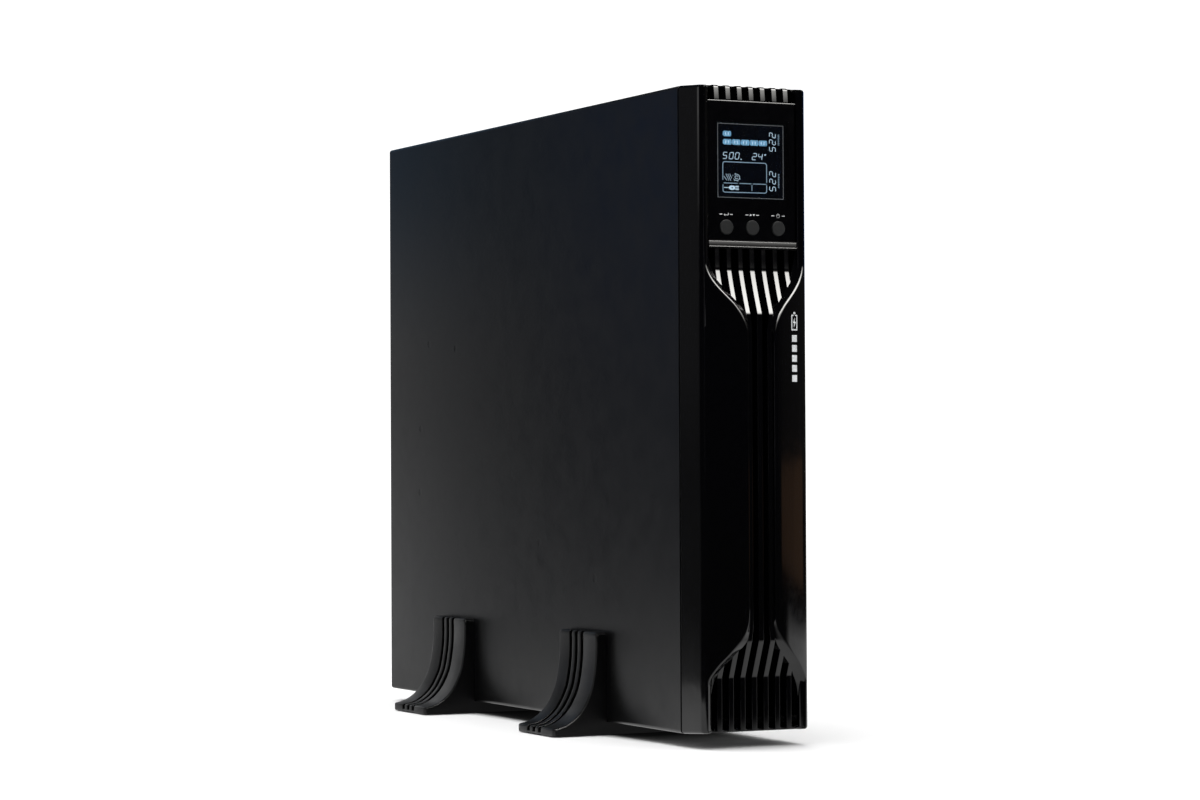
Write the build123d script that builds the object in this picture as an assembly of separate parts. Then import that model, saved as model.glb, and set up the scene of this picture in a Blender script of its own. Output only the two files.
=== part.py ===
from build123d import *
from math import cos, hypot, radians, sin
import os

# Uninterruptible power supply: a 2U rack/tower unit standing upright on stand feet.
# Millimetres. +Z up, the front faces -Y, X is the narrow width.
# Origin: centre of the footprint, on the floor.

os.makedirs("parts", exist_ok=True)

# ---------------------------------------------------------------- driving dimensions
CASE_W = 88.0                   # 2U
CASE_H = 440.0                  # width between rack ears
CASE_D = 500.0
SHEET = 1.2                     # sheet steel thickness
BOTTOM = 9.5                    # case bottom above the floor
TOP = BOTTOM + CASE_H
FRONT = -234.0                  # case front edge
REAR = FRONT + CASE_D           # case rear edge
HALF_W = CASE_W / 2

FIT = 0.05                      # gap between sheet parts and around rear fittings
INNER_X = HALF_W - SHEET        # inner faces of the side walls, at -X and +X
PANEL_X = INNER_X - FIT         # half width of the front and rear panels
REAR_IN = REAR - SHEET          # inner face of the rear panel
PLATE_Y = FRONT + SHEET         # front face of the front plate
REAR_OUT = 4.18                 # how far the rear fittings stand out

SCREW_R = 1.5
HOLE_R = SCREW_R + 0.06         # clearance hole
SIDES = (-1, 1)
END_WALLS = ((TOP, 1), (BOTTOM, -1))    # outer face, outward direction in Z


def depth(y):
    """Y of a point this far behind the case front edge."""
    return FRONT + y


def ahead(y):
    """Y of a point this far in front of the case front edge."""
    return FRONT - y


def height(z):
    """Z of a point this far above the case bottom."""
    return BOTTOM + z


# ---------------------------------------------------------------- helpers
def box(x0, x1, y0, y1, z0, z1):
    """Box between two corners; the ends of a pair may come in either order."""
    middle = Pos((x0 + x1) / 2, (y0 + y1) / 2, (z0 + z1) / 2)
    return middle * Box(abs(x1 - x0), abs(y1 - y0), abs(z1 - z0))


def block(x, z, half_x, half_z, y0, y1):
    """Box from y0 to y1, centred on x, z."""
    return box(x - half_x, x + half_x, y0, y1, z - half_z, z + half_z)


def cyl_x(radius, x0, x1, y, z):
    return Pos((x0 + x1) / 2, y, z) * Rot(0, 90, 0) * Cylinder(radius, abs(x1 - x0))


def cyl_y(radius, y0, y1, x, z):
    return Pos(x, (y0 + y1) / 2, z) * Rot(90, 0, 0) * Cylinder(radius, abs(y1 - y0))


def cyl_z(radius, z0, z1, x, y):
    return Pos(x, y, (z0 + z1) / 2) * Cylinder(radius, abs(z1 - z0))


def hex_y(radius, y0, y1, x, z):
    """Hexagonal prism along Y."""
    half = extrude(RegularPolygon(radius, 6), amount=(y1 - y0) / 2, both=True)
    return Pos(x, (y0 + y1) / 2, z) * Rot(90, 0, 0) * half


def extrude_xz(edges, y0, y1):
    """Closed X, Z edges extruded from y0 to y1."""
    plane = Plane(origin=(0, y0, 0), x_dir=(1, 0, 0), z_dir=(0, -1, 0))
    return extrude(plane * make_face(edges), amount=y1 - y0, dir=(0, 1, 0))


def prism_xz(points, y0, y1):
    return extrude_xz(Polyline(*points, close=True), y0, y1)


def prism_yz(points, x0, x1):
    plane = Plane(origin=(x0, 0, 0), x_dir=(0, 1, 0), z_dir=(1, 0, 0))
    face = plane * make_face(Polyline(*points, close=True))
    return extrude(face, amount=x1 - x0, dir=(1, 0, 0))


def prism_xy(points, z0, z1):
    face = Pos(0, 0, z0) * make_face(Polyline(*points, close=True))
    return extrude(face, amount=z1 - z0, dir=(0, 0, 1))


def round_edges(shape, axis, radius):
    """Round every edge parallel to the axis."""
    return fillet(shape.edges().filter_by(axis), radius)


def round_side(shape, radius, side=0):
    """Round the edges along Y at the -X (0) or +X (-1) side."""
    return fillet(shape.edges().filter_by(Axis.Y).group_by(Axis.X)[side], radius)


def round_rim(shape, axis, radius, end=-1):
    """Round the circle at the low (0) or high (-1) end of the axis."""
    return fillet(shape.edges().filter_by(GeomType.CIRCLE).group_by(axis)[end], radius)


def save(name, *shapes):
    """Write all solids of the shapes to one STEP file."""
    solids = [Solid(s.wrapped) for shape in shapes for s in shape.solids()]
    whole = solids[0] if len(solids) == 1 else Compound(children=solids)
    export_step(whole, f"parts/{name}.step")


# ---------------------------------------------------------------- steel case
COVER_SCREW_X = 36.4
COVER_SCREW_Y = [depth(y) for y in (40, 180, 320, 460)]
NUT_R = 3.4                     # clinch nut shank in the wall
NUT_PLACES = [(x, depth(y)) for x in (-24.0, 16.0) for y in (20.0, 50.0)]
TRAY_RAIL_H = 2.4
WELDS = [(421, 278), (370, 273), (220, 125), (129, 101), (440, 160), (438, 211)]  # depth, height


def cone_in_wall(r_in, r_out, length, y, face, out):
    """Countersink cone that opens outward from the inner face of an end wall."""
    turn = Rot(0 if out > 0 else 180, 0, 0)
    return Pos(COVER_SCREW_X, y, face - out * (SHEET - length / 2)) * turn * Cone(r_in, r_out, length)


def chassis_tray():
    """U-shaped tray, open towards +X, with rounded edges along its -X side."""
    outer = box(-HALF_W, INNER_X, FRONT, REAR, BOTTOM, TOP)
    outer = round_side(outer, 2.4)
    inner = box(-INNER_X, INNER_X + 5, FRONT - 5, REAR + 5, BOTTOM + SHEET, TOP - SHEET)
    inner = round_side(inner, 1.2)
    tray = outer - inner
    for y in COVER_SCREW_Y:
        for face, out in END_WALLS:
            tray -= cyl_z(HOLE_R, face - out * (SHEET + 1), face + out, COVER_SCREW_X, y)
            tray -= cone_in_wall(HOLE_R, 2.86, SHEET, y, face, out)
    for x, y in NUT_PLACES:
        for face, out in END_WALLS:
            tray -= cyl_z(NUT_R, face - out * (SHEET + 1), face + out, x, y)
    # two rails on the bottom wall carry the battery tray
    floor = BOTTOM + SHEET
    for x in (-35.0, 23.5):
        tray += box(x - 1.5, x + 1.5, depth(8), depth(311), floor, floor + TRAY_RAIL_H)
    # spot weld dimples in the -X side
    for y, z in WELDS:
        tray -= cyl_x(2.6, -HALF_W - 1, -HALF_W + 0.12, depth(y), height(z))
    return tray


def clinch_nut(x, y, face, out):
    wall_in = face - out * SHEET
    nut = cyl_z(NUT_R - 0.02, wall_in, face, x, y)
    nut += cyl_z(4.6, wall_in - out * 2.2, wall_in, x, y)
    return nut - cyl_z(2.0, face - out * 6, face + out, x, y)


def side_cover():
    """Plate closing the +X side, with a flange under each end wall."""
    cover = round_side(box(INNER_X, HALF_W, FRONT, REAR, BOTTOM, TOP), 1.0, side=-1)
    flanges = [(face - out * (SHEET + FIT), out) for face, out in END_WALLS]
    for face, out in flanges:
        cover += box(30.0, INNER_X, FRONT + 12, REAR - 14, face - out * SHEET, face)
    for y in COVER_SCREW_Y:
        for face, out in flanges:
            cover -= cyl_z(SCREW_R + 0.03, face - out * (SHEET + 1), face + out, COVER_SCREW_X, y)
    # two rows of intake slots
    for i in range(14):
        y = depth(60) + i * 9.0
        for z0, z1 in ((300, 352), (372, 424)):
            cover -= box(INNER_X - 1, HALF_W + 1, y, y + 3.2, height(z0), height(z1))
    return cover


def cover_screw(y, face, out):
    """Countersunk screw with a cross recess."""
    x = COVER_SCREW_X
    screw = cyl_z(SCREW_R, face - out * 7.5, face - out * SHEET, x, y)
    screw += cone_in_wall(SCREW_R, 2.7, 1.1, y, face, out)
    for half_x, half_y in ((0.5, 1.6), (1.6, 0.5)):
        screw -= box(x - half_x, x + half_x, y - half_y, y + half_y, face - out * 0.85, face + out)
    return screw


save("chassis_tray", chassis_tray())
save("clinch_nuts", *[clinch_nut(x, y, *wall) for x, y in NUT_PLACES for wall in END_WALLS])
save("side_cover", side_cover())
save("cover_screws", *[cover_screw(y, *wall) for y in COVER_SCREW_Y for wall in END_WALLS])


# ---------------------------------------------------------------- shared by both end panels
def end_panel(face, inward):
    """Front or rear panel with a flange folded inward along its -X edge."""
    inner = face + inward * SHEET
    z0, z1 = BOTTOM + SHEET, TOP - SHEET
    panel = round_side(box(-PANEL_X, PANEL_X, face, inner, z0 + FIT, z1 - FIT), 1.3)
    panel += box(-PANEL_X, -PANEL_X + SHEET, inner, face + inward * 14, z0 + 6, z1 - 6)
    return panel


def pan_screw(x, z, seat, length=7.0, side=1):
    """Pan head screw; the head stands on seat towards the rear (1) or the front (-1)."""
    screw = cyl_y(2.8, seat, seat + side * 1.9, x, z)
    screw += cyl_y(SCREW_R, seat - side * length, seat, x, z)
    if side > 0:
        screw = round_rim(screw, Axis.Y, 0.7)
    for half_x, half_z in ((0.45, 1.7), (1.7, 0.45)):
        screw -= block(x, z, half_x, half_z, seat + side * 1.1, seat + side * 3)
    return screw


# The fittings below add to these lists as they are built.
pan_screws = []
rear_cuts = []                  # cutters for the rear panel, in order


def rear_opening(x0, x1, z0, z1, gap=FIT):
    """Cut the rear panel around a body of this outline."""
    rear_cuts.append(box(x0 - gap, x1 + gap, REAR_IN - 1, REAR + 1, z0 - gap, z1 + gap))


def rear_bore(radius, x, z):
    rear_cuts.append(cyl_y(radius, REAR_IN - 1, REAR + 1, x, z))


# ---------------------------------------------------------------- fans
FAN_Z = {"upper": 405.0, "lower": 322.0}    # axis, used directly as Z
FAN_SIZE = 80.0
FAN_FRONT = REAR_IN - 25.0      # inner face of the frame; its rear face is on the panel
HOLE_OFF = 35.75                # mounting hole offset from the axis
FAN_HOLES = [(sx * HOLE_OFF, sz * HOLE_OFF) for sx in SIDES for sz in SIDES]
DIAGONALS = (45, 135, 225, 315)
ROTOR_Y = (FAN_FRONT + 4.6, FAN_FRONT + 22.6)
# distance from the axis, pitch angle, chord, thickness
BLADE_STATIONS = [(17.0, 38, 20.0, 1.5), (27.0, 48, 22.0, 1.3), (36.6, 55, 23.5, 1.1)]
WIRE_R = 0.85
RING_RADII = (10.0, 17.5, 25.0, 32.5)
EYE_T = 1.7                     # thickness of the guard's screw eyes


def fan_frame(zc):
    half = FAN_SIZE / 2
    frame = round_edges(block(0, zc, half, half, FAN_FRONT, REAR_IN), Axis.Y, 5.0)
    frame -= cyl_y(38.0, FAN_FRONT - 1, REAR_IN + 1, 0, zc)
    # waisted between its two flanges
    waist0, waist1 = FAN_FRONT + 4, REAR_IN - 4
    for side in SIDES:
        lo, hi = side * 38.9, side * 45
        frame -= box(lo, hi, waist0, waist1, zc - 26, zc + 26)
        frame -= box(-26, 26, waist0, waist1, zc + lo, zc + hi)
    # motor plate, four struts and the bearing tube
    frame += cyl_y(18.0, FAN_FRONT, FAN_FRONT + 2.6, 0, zc)
    for angle in DIAGONALS:
        x, z = 28.3 * cos(radians(angle)), 28.3 * sin(radians(angle))
        frame += Pos(x, FAN_FRONT + 1.4, zc + z) * Rot(0, -angle, 0) * Box(22.5, 2.8, 4.0)
    frame += cyl_y(4.4, FAN_FRONT + 2.6, FAN_FRONT + 17.0, 0, zc)
    frame -= cyl_y(1.55, FAN_FRONT + 1.4, REAR_IN + 1, 0, zc)
    for x, z in FAN_HOLES:
        frame -= cyl_y(HOLE_R, FAN_FRONT - 1, REAR_IN + 1, x, zc + z)
    return frame


def fan_blade():
    """Twisted blade reaching out along +X."""
    sections = []
    for x, pitch, chord, thick in BLADE_STATIONS:
        plane = Plane(origin=(x, 0, 0), x_dir=(0, 1, 0), z_dir=(1, 0, 0))
        sections.append(plane * (Rot(0, 0, pitch) * Rectangle(chord, thick)))
    return loft(sections)


def fan_rotor(zc):
    """Cup, shaft, hub and seven blades, trimmed to the swept radius."""
    y0, y1 = ROTOR_Y
    rotor = cyl_y(17.6, y0, y1, 0, zc) - cyl_y(15.8, y0 - 1, y1 - 1.6, 0, zc)
    rotor += cyl_y(1.5, FAN_FRONT + 1.9, y1 - 1.0, 0, zc)
    rotor += cyl_y(4.6, y1 - 4.0, y1 - 1.5, 0, zc)
    for i in range(7):
        rotor += Pos(0, (y0 + y1) / 2, zc) * (Rot(0, -360 / 7 * i, 0) * fan_blade())
    return rotor & cyl_y(37.0, FAN_FRONT, REAR_IN, 0, zc)


def fan_guard(zc):
    """Wire rings on four diagonal spokes that end in screw eyes."""
    rings = [Pos(0, REAR + 2.6, zc) * Rot(90, 0, 0) * Torus(r, WIRE_R) for r in RING_RADII]
    guard = rings[0]
    for ring in rings[1:]:
        guard += ring
    for angle in DIAGONALS:
        spoke = cyl_x(WIRE_R, 9.4, hypot(HOLE_OFF, HOLE_OFF) - 3.2, 0, 0)
        guard += Pos(0, REAR + 1.2, zc) * (Rot(0, -angle, 0) * spoke)
    for x, z in FAN_HOLES:
        eye = cyl_y(3.6, REAR, REAR + EYE_T, x, zc + z)
        guard += eye - cyl_y(HOLE_R, REAR - 1, REAR + 3, x, zc + z)
    return guard


for place, zc in FAN_Z.items():
    save(f"fan_frame_{place}", fan_frame(zc))
    save(f"fan_rotor_{place}", fan_rotor(zc))
    rear_bore(38.2, 0, zc)
    for x, z in FAN_HOLES:
        rear_bore(HOLE_R, x, zc + z)
        pan_screws.append(pan_screw(x, zc + z, REAR + EYE_T, length=12.0))
save("fan_guards", *[fan_guard(zc) for zc in FAN_Z.values()])


# ---------------------------------------------------------------- accessory slot cover
def slot_cover():
    """Vented plate over a slot on the -X side, with a folded pull edge."""
    x0, x1, z0, z1 = -38.0, -2.0, height(160), height(270)
    rear_opening(x0 + 3, x1 - 3, z0 + 8, z1 - 8, gap=0)
    cover = round_edges(box(x0, x1, REAR, REAR + SHEET, z0, z1), Axis.Y, 1.5)
    cover += box(x0 + 6, x1 - 6, REAR + SHEET, REAR + REAR_OUT, z0 + 20, z0 + 20 + SHEET)
    cover += box(x0 + 3.2, x0 + 3.2 + SHEET, REAR - 16, REAR, z0 + 10, z1 - 10)
    for z in (z0 + 4, z1 - 4):
        for x in (x0 + 5, x1 - 5):
            cover -= cyl_y(HOLE_R, REAR - 1, REAR + 3, x, z)
            rear_bore(HOLE_R, x, z)
            pan_screws.append(pan_screw(x, z, REAR + SHEET))
    for i in range(9):
        z = z0 + 30 + i * 7.0
        cover -= box(x0 + 8, x1 - 8, REAR - 1, REAR + 2, z, z + 2.6)
    return cover


save("slot_cover", slot_cover())

# ---------------------------------------------------------------- communication board and ports
COMM_X = 38.0                   # component face of the board; the ports end here
PORT_X = 31.5                   # centre line of the USB and serial ports
# distance ahead of REAR, height, size in Y, size in Z, component height
COMM_PARTS = [
    (46, 178, 12, 9, 2.2), (40, 200, 10, 10, 1.6), (52, 224, 9, 14, 2.6),
    (34, 246, 8, 8, 1.4), (56, 252, 6, 6, 3.0), (30, 178, 6, 8, 1.8),
]


def comm_board():
    board = box(COMM_X, COMM_X + 1.6, REAR - 70, REAR - 6, height(160), height(272))
    for y in (REAR - 66, REAR - 12):
        for z in (height(164), height(268)):
            board -= cyl_x(1.6, COMM_X - 1, COMM_X + 3, y, z)
    for back, z, size_y, size_z, tall in COMM_PARTS:
        y, z = REAR - back, height(z)
        board += box(COMM_X - tall, COMM_X, y - size_y / 2, y + size_y / 2,
                     z - size_z / 2, z + size_z / 2)
    return board


def usb_port():
    z = height(256)
    port = box(25.0, COMM_X, REAR - 17, REAR + 0.6, z - 6, z + 6)
    rear_opening(25.0, COMM_X, z - 6, z + 6)
    port -= block(PORT_X, z, 4.9, 4.4, REAR - 11, REAR + 2)
    return port + block(PORT_X, z, 2.9, 1.8, REAR - 11, REAR - 1.0)


def d_outline(zc, half_x, half_narrow, half_wide):
    """D connector outline: narrow at -X, wide at +X."""
    x0, x1 = PORT_X - half_x, PORT_X + half_x
    return [(x0, zc - half_narrow), (x1, zc - half_wide),
            (x1, zc + half_wide), (x0, zc + half_narrow)]


def serial_port():
    zc = height(228)
    shell_end = REAR + 3.6
    port = box(24.6, COMM_X, REAR - 16, REAR_IN, zc - 15.4, zc + 15.4)
    rear_cuts.append(prism_xz(d_outline(zc, 5.0, 9.1, 10.4), REAR_IN - 1, REAR + 1))
    port += prism_xz(d_outline(zc, 4.9, 9.0, 10.3), REAR_IN, shell_end)
    port -= prism_xz(d_outline(zc, 4.1, 8.2, 9.4), REAR - 3.0, REAR + 6)
    # threaded hexagon posts
    for z in (zc - 12.9, zc + 12.9):
        rear_bore(2.45, PORT_X, z)
        port += hex_y(2.3, REAR_IN, shell_end, PORT_X, z)
        port -= cyl_y(1.3, REAR - 3, REAR + 6, PORT_X, z)
    # contact holes in two columns
    for x, count in ((30.2, 5), (33.0, 4)):
        for i in range(count):
            z = zc + (i - (count - 1) / 2) * 2.77
            port -= cyl_y(0.55, REAR - 6, REAR + 1, x, z)
    return port


def network_port(zc):
    """Jack opening towards the rear, with a latch notch at -X and eight contacts at +X."""
    port = box(22.0, COMM_X, REAR - 18, REAR + 0.6, zc - 7.8, zc + 7.8)
    rear_opening(22.0, COMM_X, zc - 7.8, zc + 7.8)
    port -= box(24.4, 35.6, REAR - 12, REAR + 2, zc - 6.0, zc + 6.0)
    port -= box(22.9, 25.0, REAR - 12, REAR + 2, zc - 3.2, zc + 3.2)
    for i in range(8):
        z = zc - 3.95 + i * 1.02
        port += box(33.9, 34.4, REAR - 12, REAR - 2, z, z + 0.45)
        port += box(34.4, 35.8, REAR - 12.5, REAR - 11.5, z, z + 0.45)
    return port


save("comm_board", comm_board())
save("usb_port", usb_port())
save("serial_port", serial_port())
save("network_ports", *[network_port(height(z)) for z in (196, 177)])


# ---------------------------------------------------------------- terminals and power fittings
def stop_terminal():
    """Two-pole plug-in terminal block."""
    x, z = 12.0, height(262)
    terminal = block(x, z, 8, 5, REAR - 9, REAR + REAR_OUT - 0.4)
    rear_opening(x - 8, x + 8, z - 5, z + 5)
    for pole_x in (x - 4, x + 4):
        terminal -= box(pole_x - 2.3, pole_x + 2.3, REAR - 4, REAR + 8, z - 3.6, z + 0.2)
        terminal -= cyl_y(1.5, REAR - 4, REAR + 8, pole_x, z + 2.7)
    return terminal


def external_battery_socket():
    """Rectangular two-pole block."""
    x, z = 11.0, height(222)
    socket = block(x, z, 8, 18, REAR - 22, REAR + 1.6)
    rear_opening(x - 8, x + 8, z - 18, z + 18)
    for pole_z in (z - 8.4, z + 8.4):
        socket -= block(x, pole_z, 5.6, 6.6, REAR - 18, REAR + 4)
        socket += block(x, pole_z, 1.4, 4.2, REAR - 18, REAR - 4)
    return socket


OUTLET_Z0 = height(52.0)        # bottom of the outlet banks
OUTLET_PITCH = 26.0
OUTLETS = 4                     # in each bank
OUTLET_BLADES = ((-6.8, -1.6), (6.8, -1.6), (0, 2.6))   # X and Z from the outlet centre


def outlet_outline(x, z, half_x, half_z, top_x, shoulder_z):
    """Rectangle with its two upper corners cut off."""
    return [(x - half_x, z - half_z), (x + half_x, z - half_z), (x + half_x, z + shoulder_z),
            (x + top_x, z + half_z), (x - top_x, z + half_z), (x - half_x, z + shoulder_z)]


def outlet_bank(x):
    z0, z1 = OUTLET_Z0, OUTLET_Z0 + OUTLETS * OUTLET_PITCH
    bank = round_edges(box(x - 17.2, x + 17.2, REAR, REAR + 2.0, z0, z1), Axis.Y, 2.0)
    bank += box(x - 15.0, x + 15.0, REAR - 24, REAR, z0 + 2.2, z1 - 2.2)
    rear_opening(x - 15.0, x + 15.0, z0 + 2.2, z1 - 2.2)
    for i in range(OUTLETS):
        z = z0 + OUTLET_PITCH * (i + 0.5)
        bank -= prism_xz(outlet_outline(x, z, 12.2, 8.2, 7.6, 3.4), REAR - 16, REAR + 5)
        bank += prism_xz(outlet_outline(x, z, 9.6, 5.8, 6.2, 2.4), REAR - 16, REAR - 0.5)
        for dx, dz in OUTLET_BLADES:
            bank -= block(x + dx, z + dz, 1.1, 2.1, REAR - 12, REAR + 5)
    return bank


INLET_X, INLET_Z = -18.0, height(27.0)


def power_inlet():
    """Flanged appliance inlet with three blades."""
    x, z = INLET_X, INLET_Z
    inlet = round_edges(block(x, z, 23.6, 14, REAR, REAR + 2.4), Axis.Y, 3.0)
    inlet += block(x, z, 16, 12, REAR - 22, REAR)
    rear_opening(x - 16, x + 16, z - 12, z + 12)
    inlet -= block(x, z, 13.6, 9.6, REAR - 17, REAR + 5)
    for dx, dz in ((-6.5, -2.5), (6.5, -2.5), (0, 4.2)):
        inlet += block(x + dx, z + dz, 1.0, 3.0, REAR - 18, REAR - 1.2)
    seat = REAR + 2.2           # screw heads are slightly sunk in the flange
    for screw_x in (x - 20.0, x + 20.0):
        inlet -= cyl_y(HOLE_R, REAR - 1, REAR + 4, screw_x, z)
        inlet -= cyl_y(3.0, seat, REAR + 6, screw_x, z)
        rear_bore(HOLE_R, screw_x, z)
        pan_screws.append(pan_screw(screw_x, z, seat))
    return inlet


def inlet_filter():
    """Filter can in front of the inlet, with three tabs."""
    x, z = INLET_X, INLET_Z
    can = box(x - 22, x + 22, REAR - 86, REAR - 24, BOTTOM + SHEET + 2.0, z + 14)
    can = round_edges(can, Axis.Y, 2.0)
    for dx in (-14, 0, 14):
        can += block(x + dx, z, 3.1, 0.4, REAR - 94, REAR - 86)
    return can


BREAKER = (24.5, height(27.0))  # X, Z of the thermal breaker
RESET_R = 5.0                   # its reset button


def breaker_body():
    x, z = BREAKER
    body = cyl_y(9.4, REAR, REAR + 2.2, x, z)
    body += cyl_y(7.4, REAR - 4, REAR, x, z)
    body += block(x, z, 8.5, 13, REAR - 36, REAR - 4)
    rear_bore(7.4 + FIT, x, z)
    body -= cyl_y(RESET_R + 0.08, REAR - 16, REAR + 5, x, z)
    for side in SIDES:
        body += box(x - 5, x - 4.2, REAR - 45, REAR - 36, z + side * 3, z + side * 9.3)
    return body


def breaker_button():
    button = cyl_y(RESET_R, REAR - 14, REAR + REAR_OUT - 1.1, *BREAKER)
    return round_rim(button, Axis.Y, 0.8)


def ground_stud():
    """Stud with a washer and hexagon nut outside and a round nut inside."""
    x, z = 10.4, height(14.0)
    stud = cyl_y(2.0, REAR - 8, REAR + REAR_OUT, x, z)
    rear_bore(2.0 + FIT, x, z)
    stud += cyl_y(4.4, REAR, REAR + 0.9, x, z)
    stud += hex_y(4.0, REAR + 0.8, REAR + 3.4, x, z)
    return stud + cyl_y(4.4, REAR_IN - 2.4, REAR_IN, x, z)


save("stop_terminal", stop_terminal())
save("external_battery_socket", external_battery_socket())
for side_name, x in (("left", -20.6), ("right", 20.6)):
    save(f"outlet_bank_{side_name}", outlet_bank(x))
save("power_inlet", power_inlet())
save("inlet_filter", inlet_filter())
save("breaker_body", breaker_body())
save("breaker_button", breaker_button())
save("ground_stud", ground_stud())


# ---------------------------------------------------------------- rear panel
def rear_panel():
    panel = end_panel(REAR, -1)
    for cutter in rear_cuts:
        panel -= cutter
    return panel


# exhaust slots just below the outlets
for i in range(8):
    x = -34.5 + i * 9.2
    rear_opening(x, x + 4.6, height(44.5), height(48.5), gap=0)
save("rear_panel", rear_panel())

# ---------------------------------------------------------------- front plate, door, divider
RIB_PITCH = 8.86                # bezel ribs; the air slots lie between them
BAY_X0, BAY_X1 = -39.0, 25.8    # battery opening
DOOR_SCREWS = [(-28.0, height(210.4)), (24.0, height(210.4)),
               (28.2, height(60.0)), (28.2, height(150.0))]
STUD_R = 3.0                    # bezel snap studs
STUD_X = 38.1
STUD_Y = (PLATE_Y - 8.5, PLATE_Y + 4.0)
STUDS = [(side * STUD_X, height(z)) for side in SIDES for z in (221.5, 318.0, 428.0)]
STUDS.append((STUD_X, height(20.0)))


def through_plate(x0, x1, z0, z1):
    return box(x0, x1, PLATE_Y - 1, PLATE_Y + SHEET + 1, z0, z1)


def front_plate():
    plate = end_panel(PLATE_Y, 1)
    plate -= through_plate(BAY_X0, BAY_X1, BOTTOM + SHEET + 1.0, height(208.0))
    # two openings behind the display, with a bar between them
    bar = through_plate(-32, 32, height(376), height(384))
    plate -= through_plate(-32, 32, height(346), height(412)) - bar
    for k in range(-3, 4):
        x = (k + 0.5) * RIB_PITCH
        for z in (232, 256, 280, 304):
            plate -= through_plate(x - 2.2, x + 2.2, height(z), height(z + 18))
    for radius, places in ((HOLE_R, DOOR_SCREWS), (4.02, STUDS)):
        for x, z in places:
            plate -= cyl_y(radius, PLATE_Y - 1, PLATE_Y + SHEET + 1, x, z)
    return plate


def battery_door():
    """Plate in front of the battery opening, with a ledge to pull it by."""
    face = PLATE_Y - SHEET
    door = box(-40.0, 30.0, face, PLATE_Y, BOTTOM + SHEET + 6.0, height(213.0))
    door = round_edges(door, Axis.Y, 3.0)
    door += box(-14.0, 14.0, face - 9.0, face, height(104.4), height(105.6))
    for x, z in DOOR_SCREWS:
        door -= cyl_y(HOLE_R, face - 1, PLATE_Y + 1, x, z)
        pan_screws.append(pan_screw(x, z, face, length=6.0, side=-1))
    return door


def divider_panel():
    """Vented shelf above the batteries, with an upturned flange along its -X edge."""
    y0, y1 = PLATE_Y + SHEET + 14.2, REAR - 90
    z0 = height(216.0)
    z1 = z0 + SHEET
    panel = box(-PANEL_X, 36.0, y0, y1, z0, z1)
    panel += box(-PANEL_X, -PANEL_X + SHEET, y0, y1, z1, z0 + 12)
    for i in range(6):
        y = depth(60) + i * 55
        panel -= box(10, 30, y, y + 24, z0 - 1, z1 + 1)
    return panel


def stud_socket(x, z):
    socket = cyl_y(4.0, PLATE_Y, PLATE_Y + 6.0, x, z)
    socket += cyl_y(4.8, PLATE_Y - 0.8, PLATE_Y, x, z)
    socket -= cyl_y(STUD_R + 0.08, PLATE_Y - 2, PLATE_Y + 5.0, x, z)
    # cut flat at the case side walls
    socket = socket & box(-PANEL_X, PANEL_X, PLATE_Y - 2, PLATE_Y + 10, BOTTOM, TOP)
    if x < 0:
        # room for the front plate's flange
        socket -= box(-PANEL_X - 1, -PANEL_X + SHEET + 0.05,
                      PLATE_Y + SHEET, PLATE_Y + 20, z - 10, z + 10)
    return socket


save("battery_door", battery_door())
save("divider_panel", divider_panel())
save("stud_sockets", *[stud_socket(x, z) for x, z in STUDS])
save("bezel_studs", *[round_rim(cyl_y(STUD_R, *STUD_Y, x, z), Axis.Y, 1.0) for x, z in STUDS])
save("front_plate", front_plate())

# ---------------------------------------------------------------- front bezel
WALL_Y = ahead(24.4)            # front end of the side walls
CREST_Y = ahead(27.4)           # crest of the front rails
FIELD_Y = ahead(24.6)           # rib fronts
RIB_BACK_Y = ahead(13.0)
WAIST_Y = ahead(32.5)           # front face of the waist channel floor
ARC_Y = ahead(37.2)             # apex of the wings' convex front
ARC_R = 80.6
WALL_X = HALF_W - 2.9           # side walls draw in to this half width
CREST_X0, CREST_X1 = 37.4, 38.7     # the flat crest of a rail
FIELD_X = 34.0                  # half width of the recessed front field
WALL_T = 2.2
WAIST_X = 12.8                  # half width of the waist channel
RIB_W = 4.35
CENTRE_RIB_W = 4.4
RIB_TOP, RIB_BOTTOM = 331.5, 1.8            # heights
LEAN_TOP, LEAN_BOTTOM = 313.5, 36.0         # beyond these the rib fronts are upright
WAIST_TOP = 284.0
RIB_TIPS = {1: (284.0, 62.0), 2: (295.5, 52.0), 3: (304.5, 43.0)}   # upper, lower tip heights
DISPLAY_Z = (333.5, 428.5)      # heights of the display field

# right-hand rail section, X, Y
RAIL_SECTION = [
    (HALF_W, FRONT), (WALL_X, WALL_Y), (CREST_X1, CREST_Y), (CREST_X0, CREST_Y),
    (FIELD_X, FIELD_Y + 0.1), (FIELD_X, FIELD_Y + 2.4), (CREST_X1 - 1.25, CREST_Y + 3.0),
    (WALL_X - WALL_T, WALL_Y + 1.6), (HALF_W - WALL_T, FRONT),
]
# outline of the right-hand wing, X and height, from the top corner down along the waist
WING = [
    (38.4, 331.0), (38.2, 324.0), (37.3, 318.9), (35.8, 311.5), (32.1, 305.0),
    (25.0, 297.0), (17.0, 288.0), (13.9, 283.0), (WAIST_X, 275.0), (WAIST_X, 70.3),
    (16.5, 63.0), (23.5, 53.3), (31.9, 43.8), (37.5, 34.5), (38.4, 28.0),
]
# hollow behind the wing, X and height; it leaves a thin skirt along the wing edge
WING_HOLLOW = [
    (40.5, 326.0), (38.3, 316.0), (33.4, 303.4), (26.4, 295.0), (18.6, 286.4),
    (15.6, 281.6), (14.7, 274.6), (14.7, 71.3), (18.0, 64.6), (24.9, 55.2),
    (33.3, 45.6), (39.0, 36.0), (40.5, 28.0),
]


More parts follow.
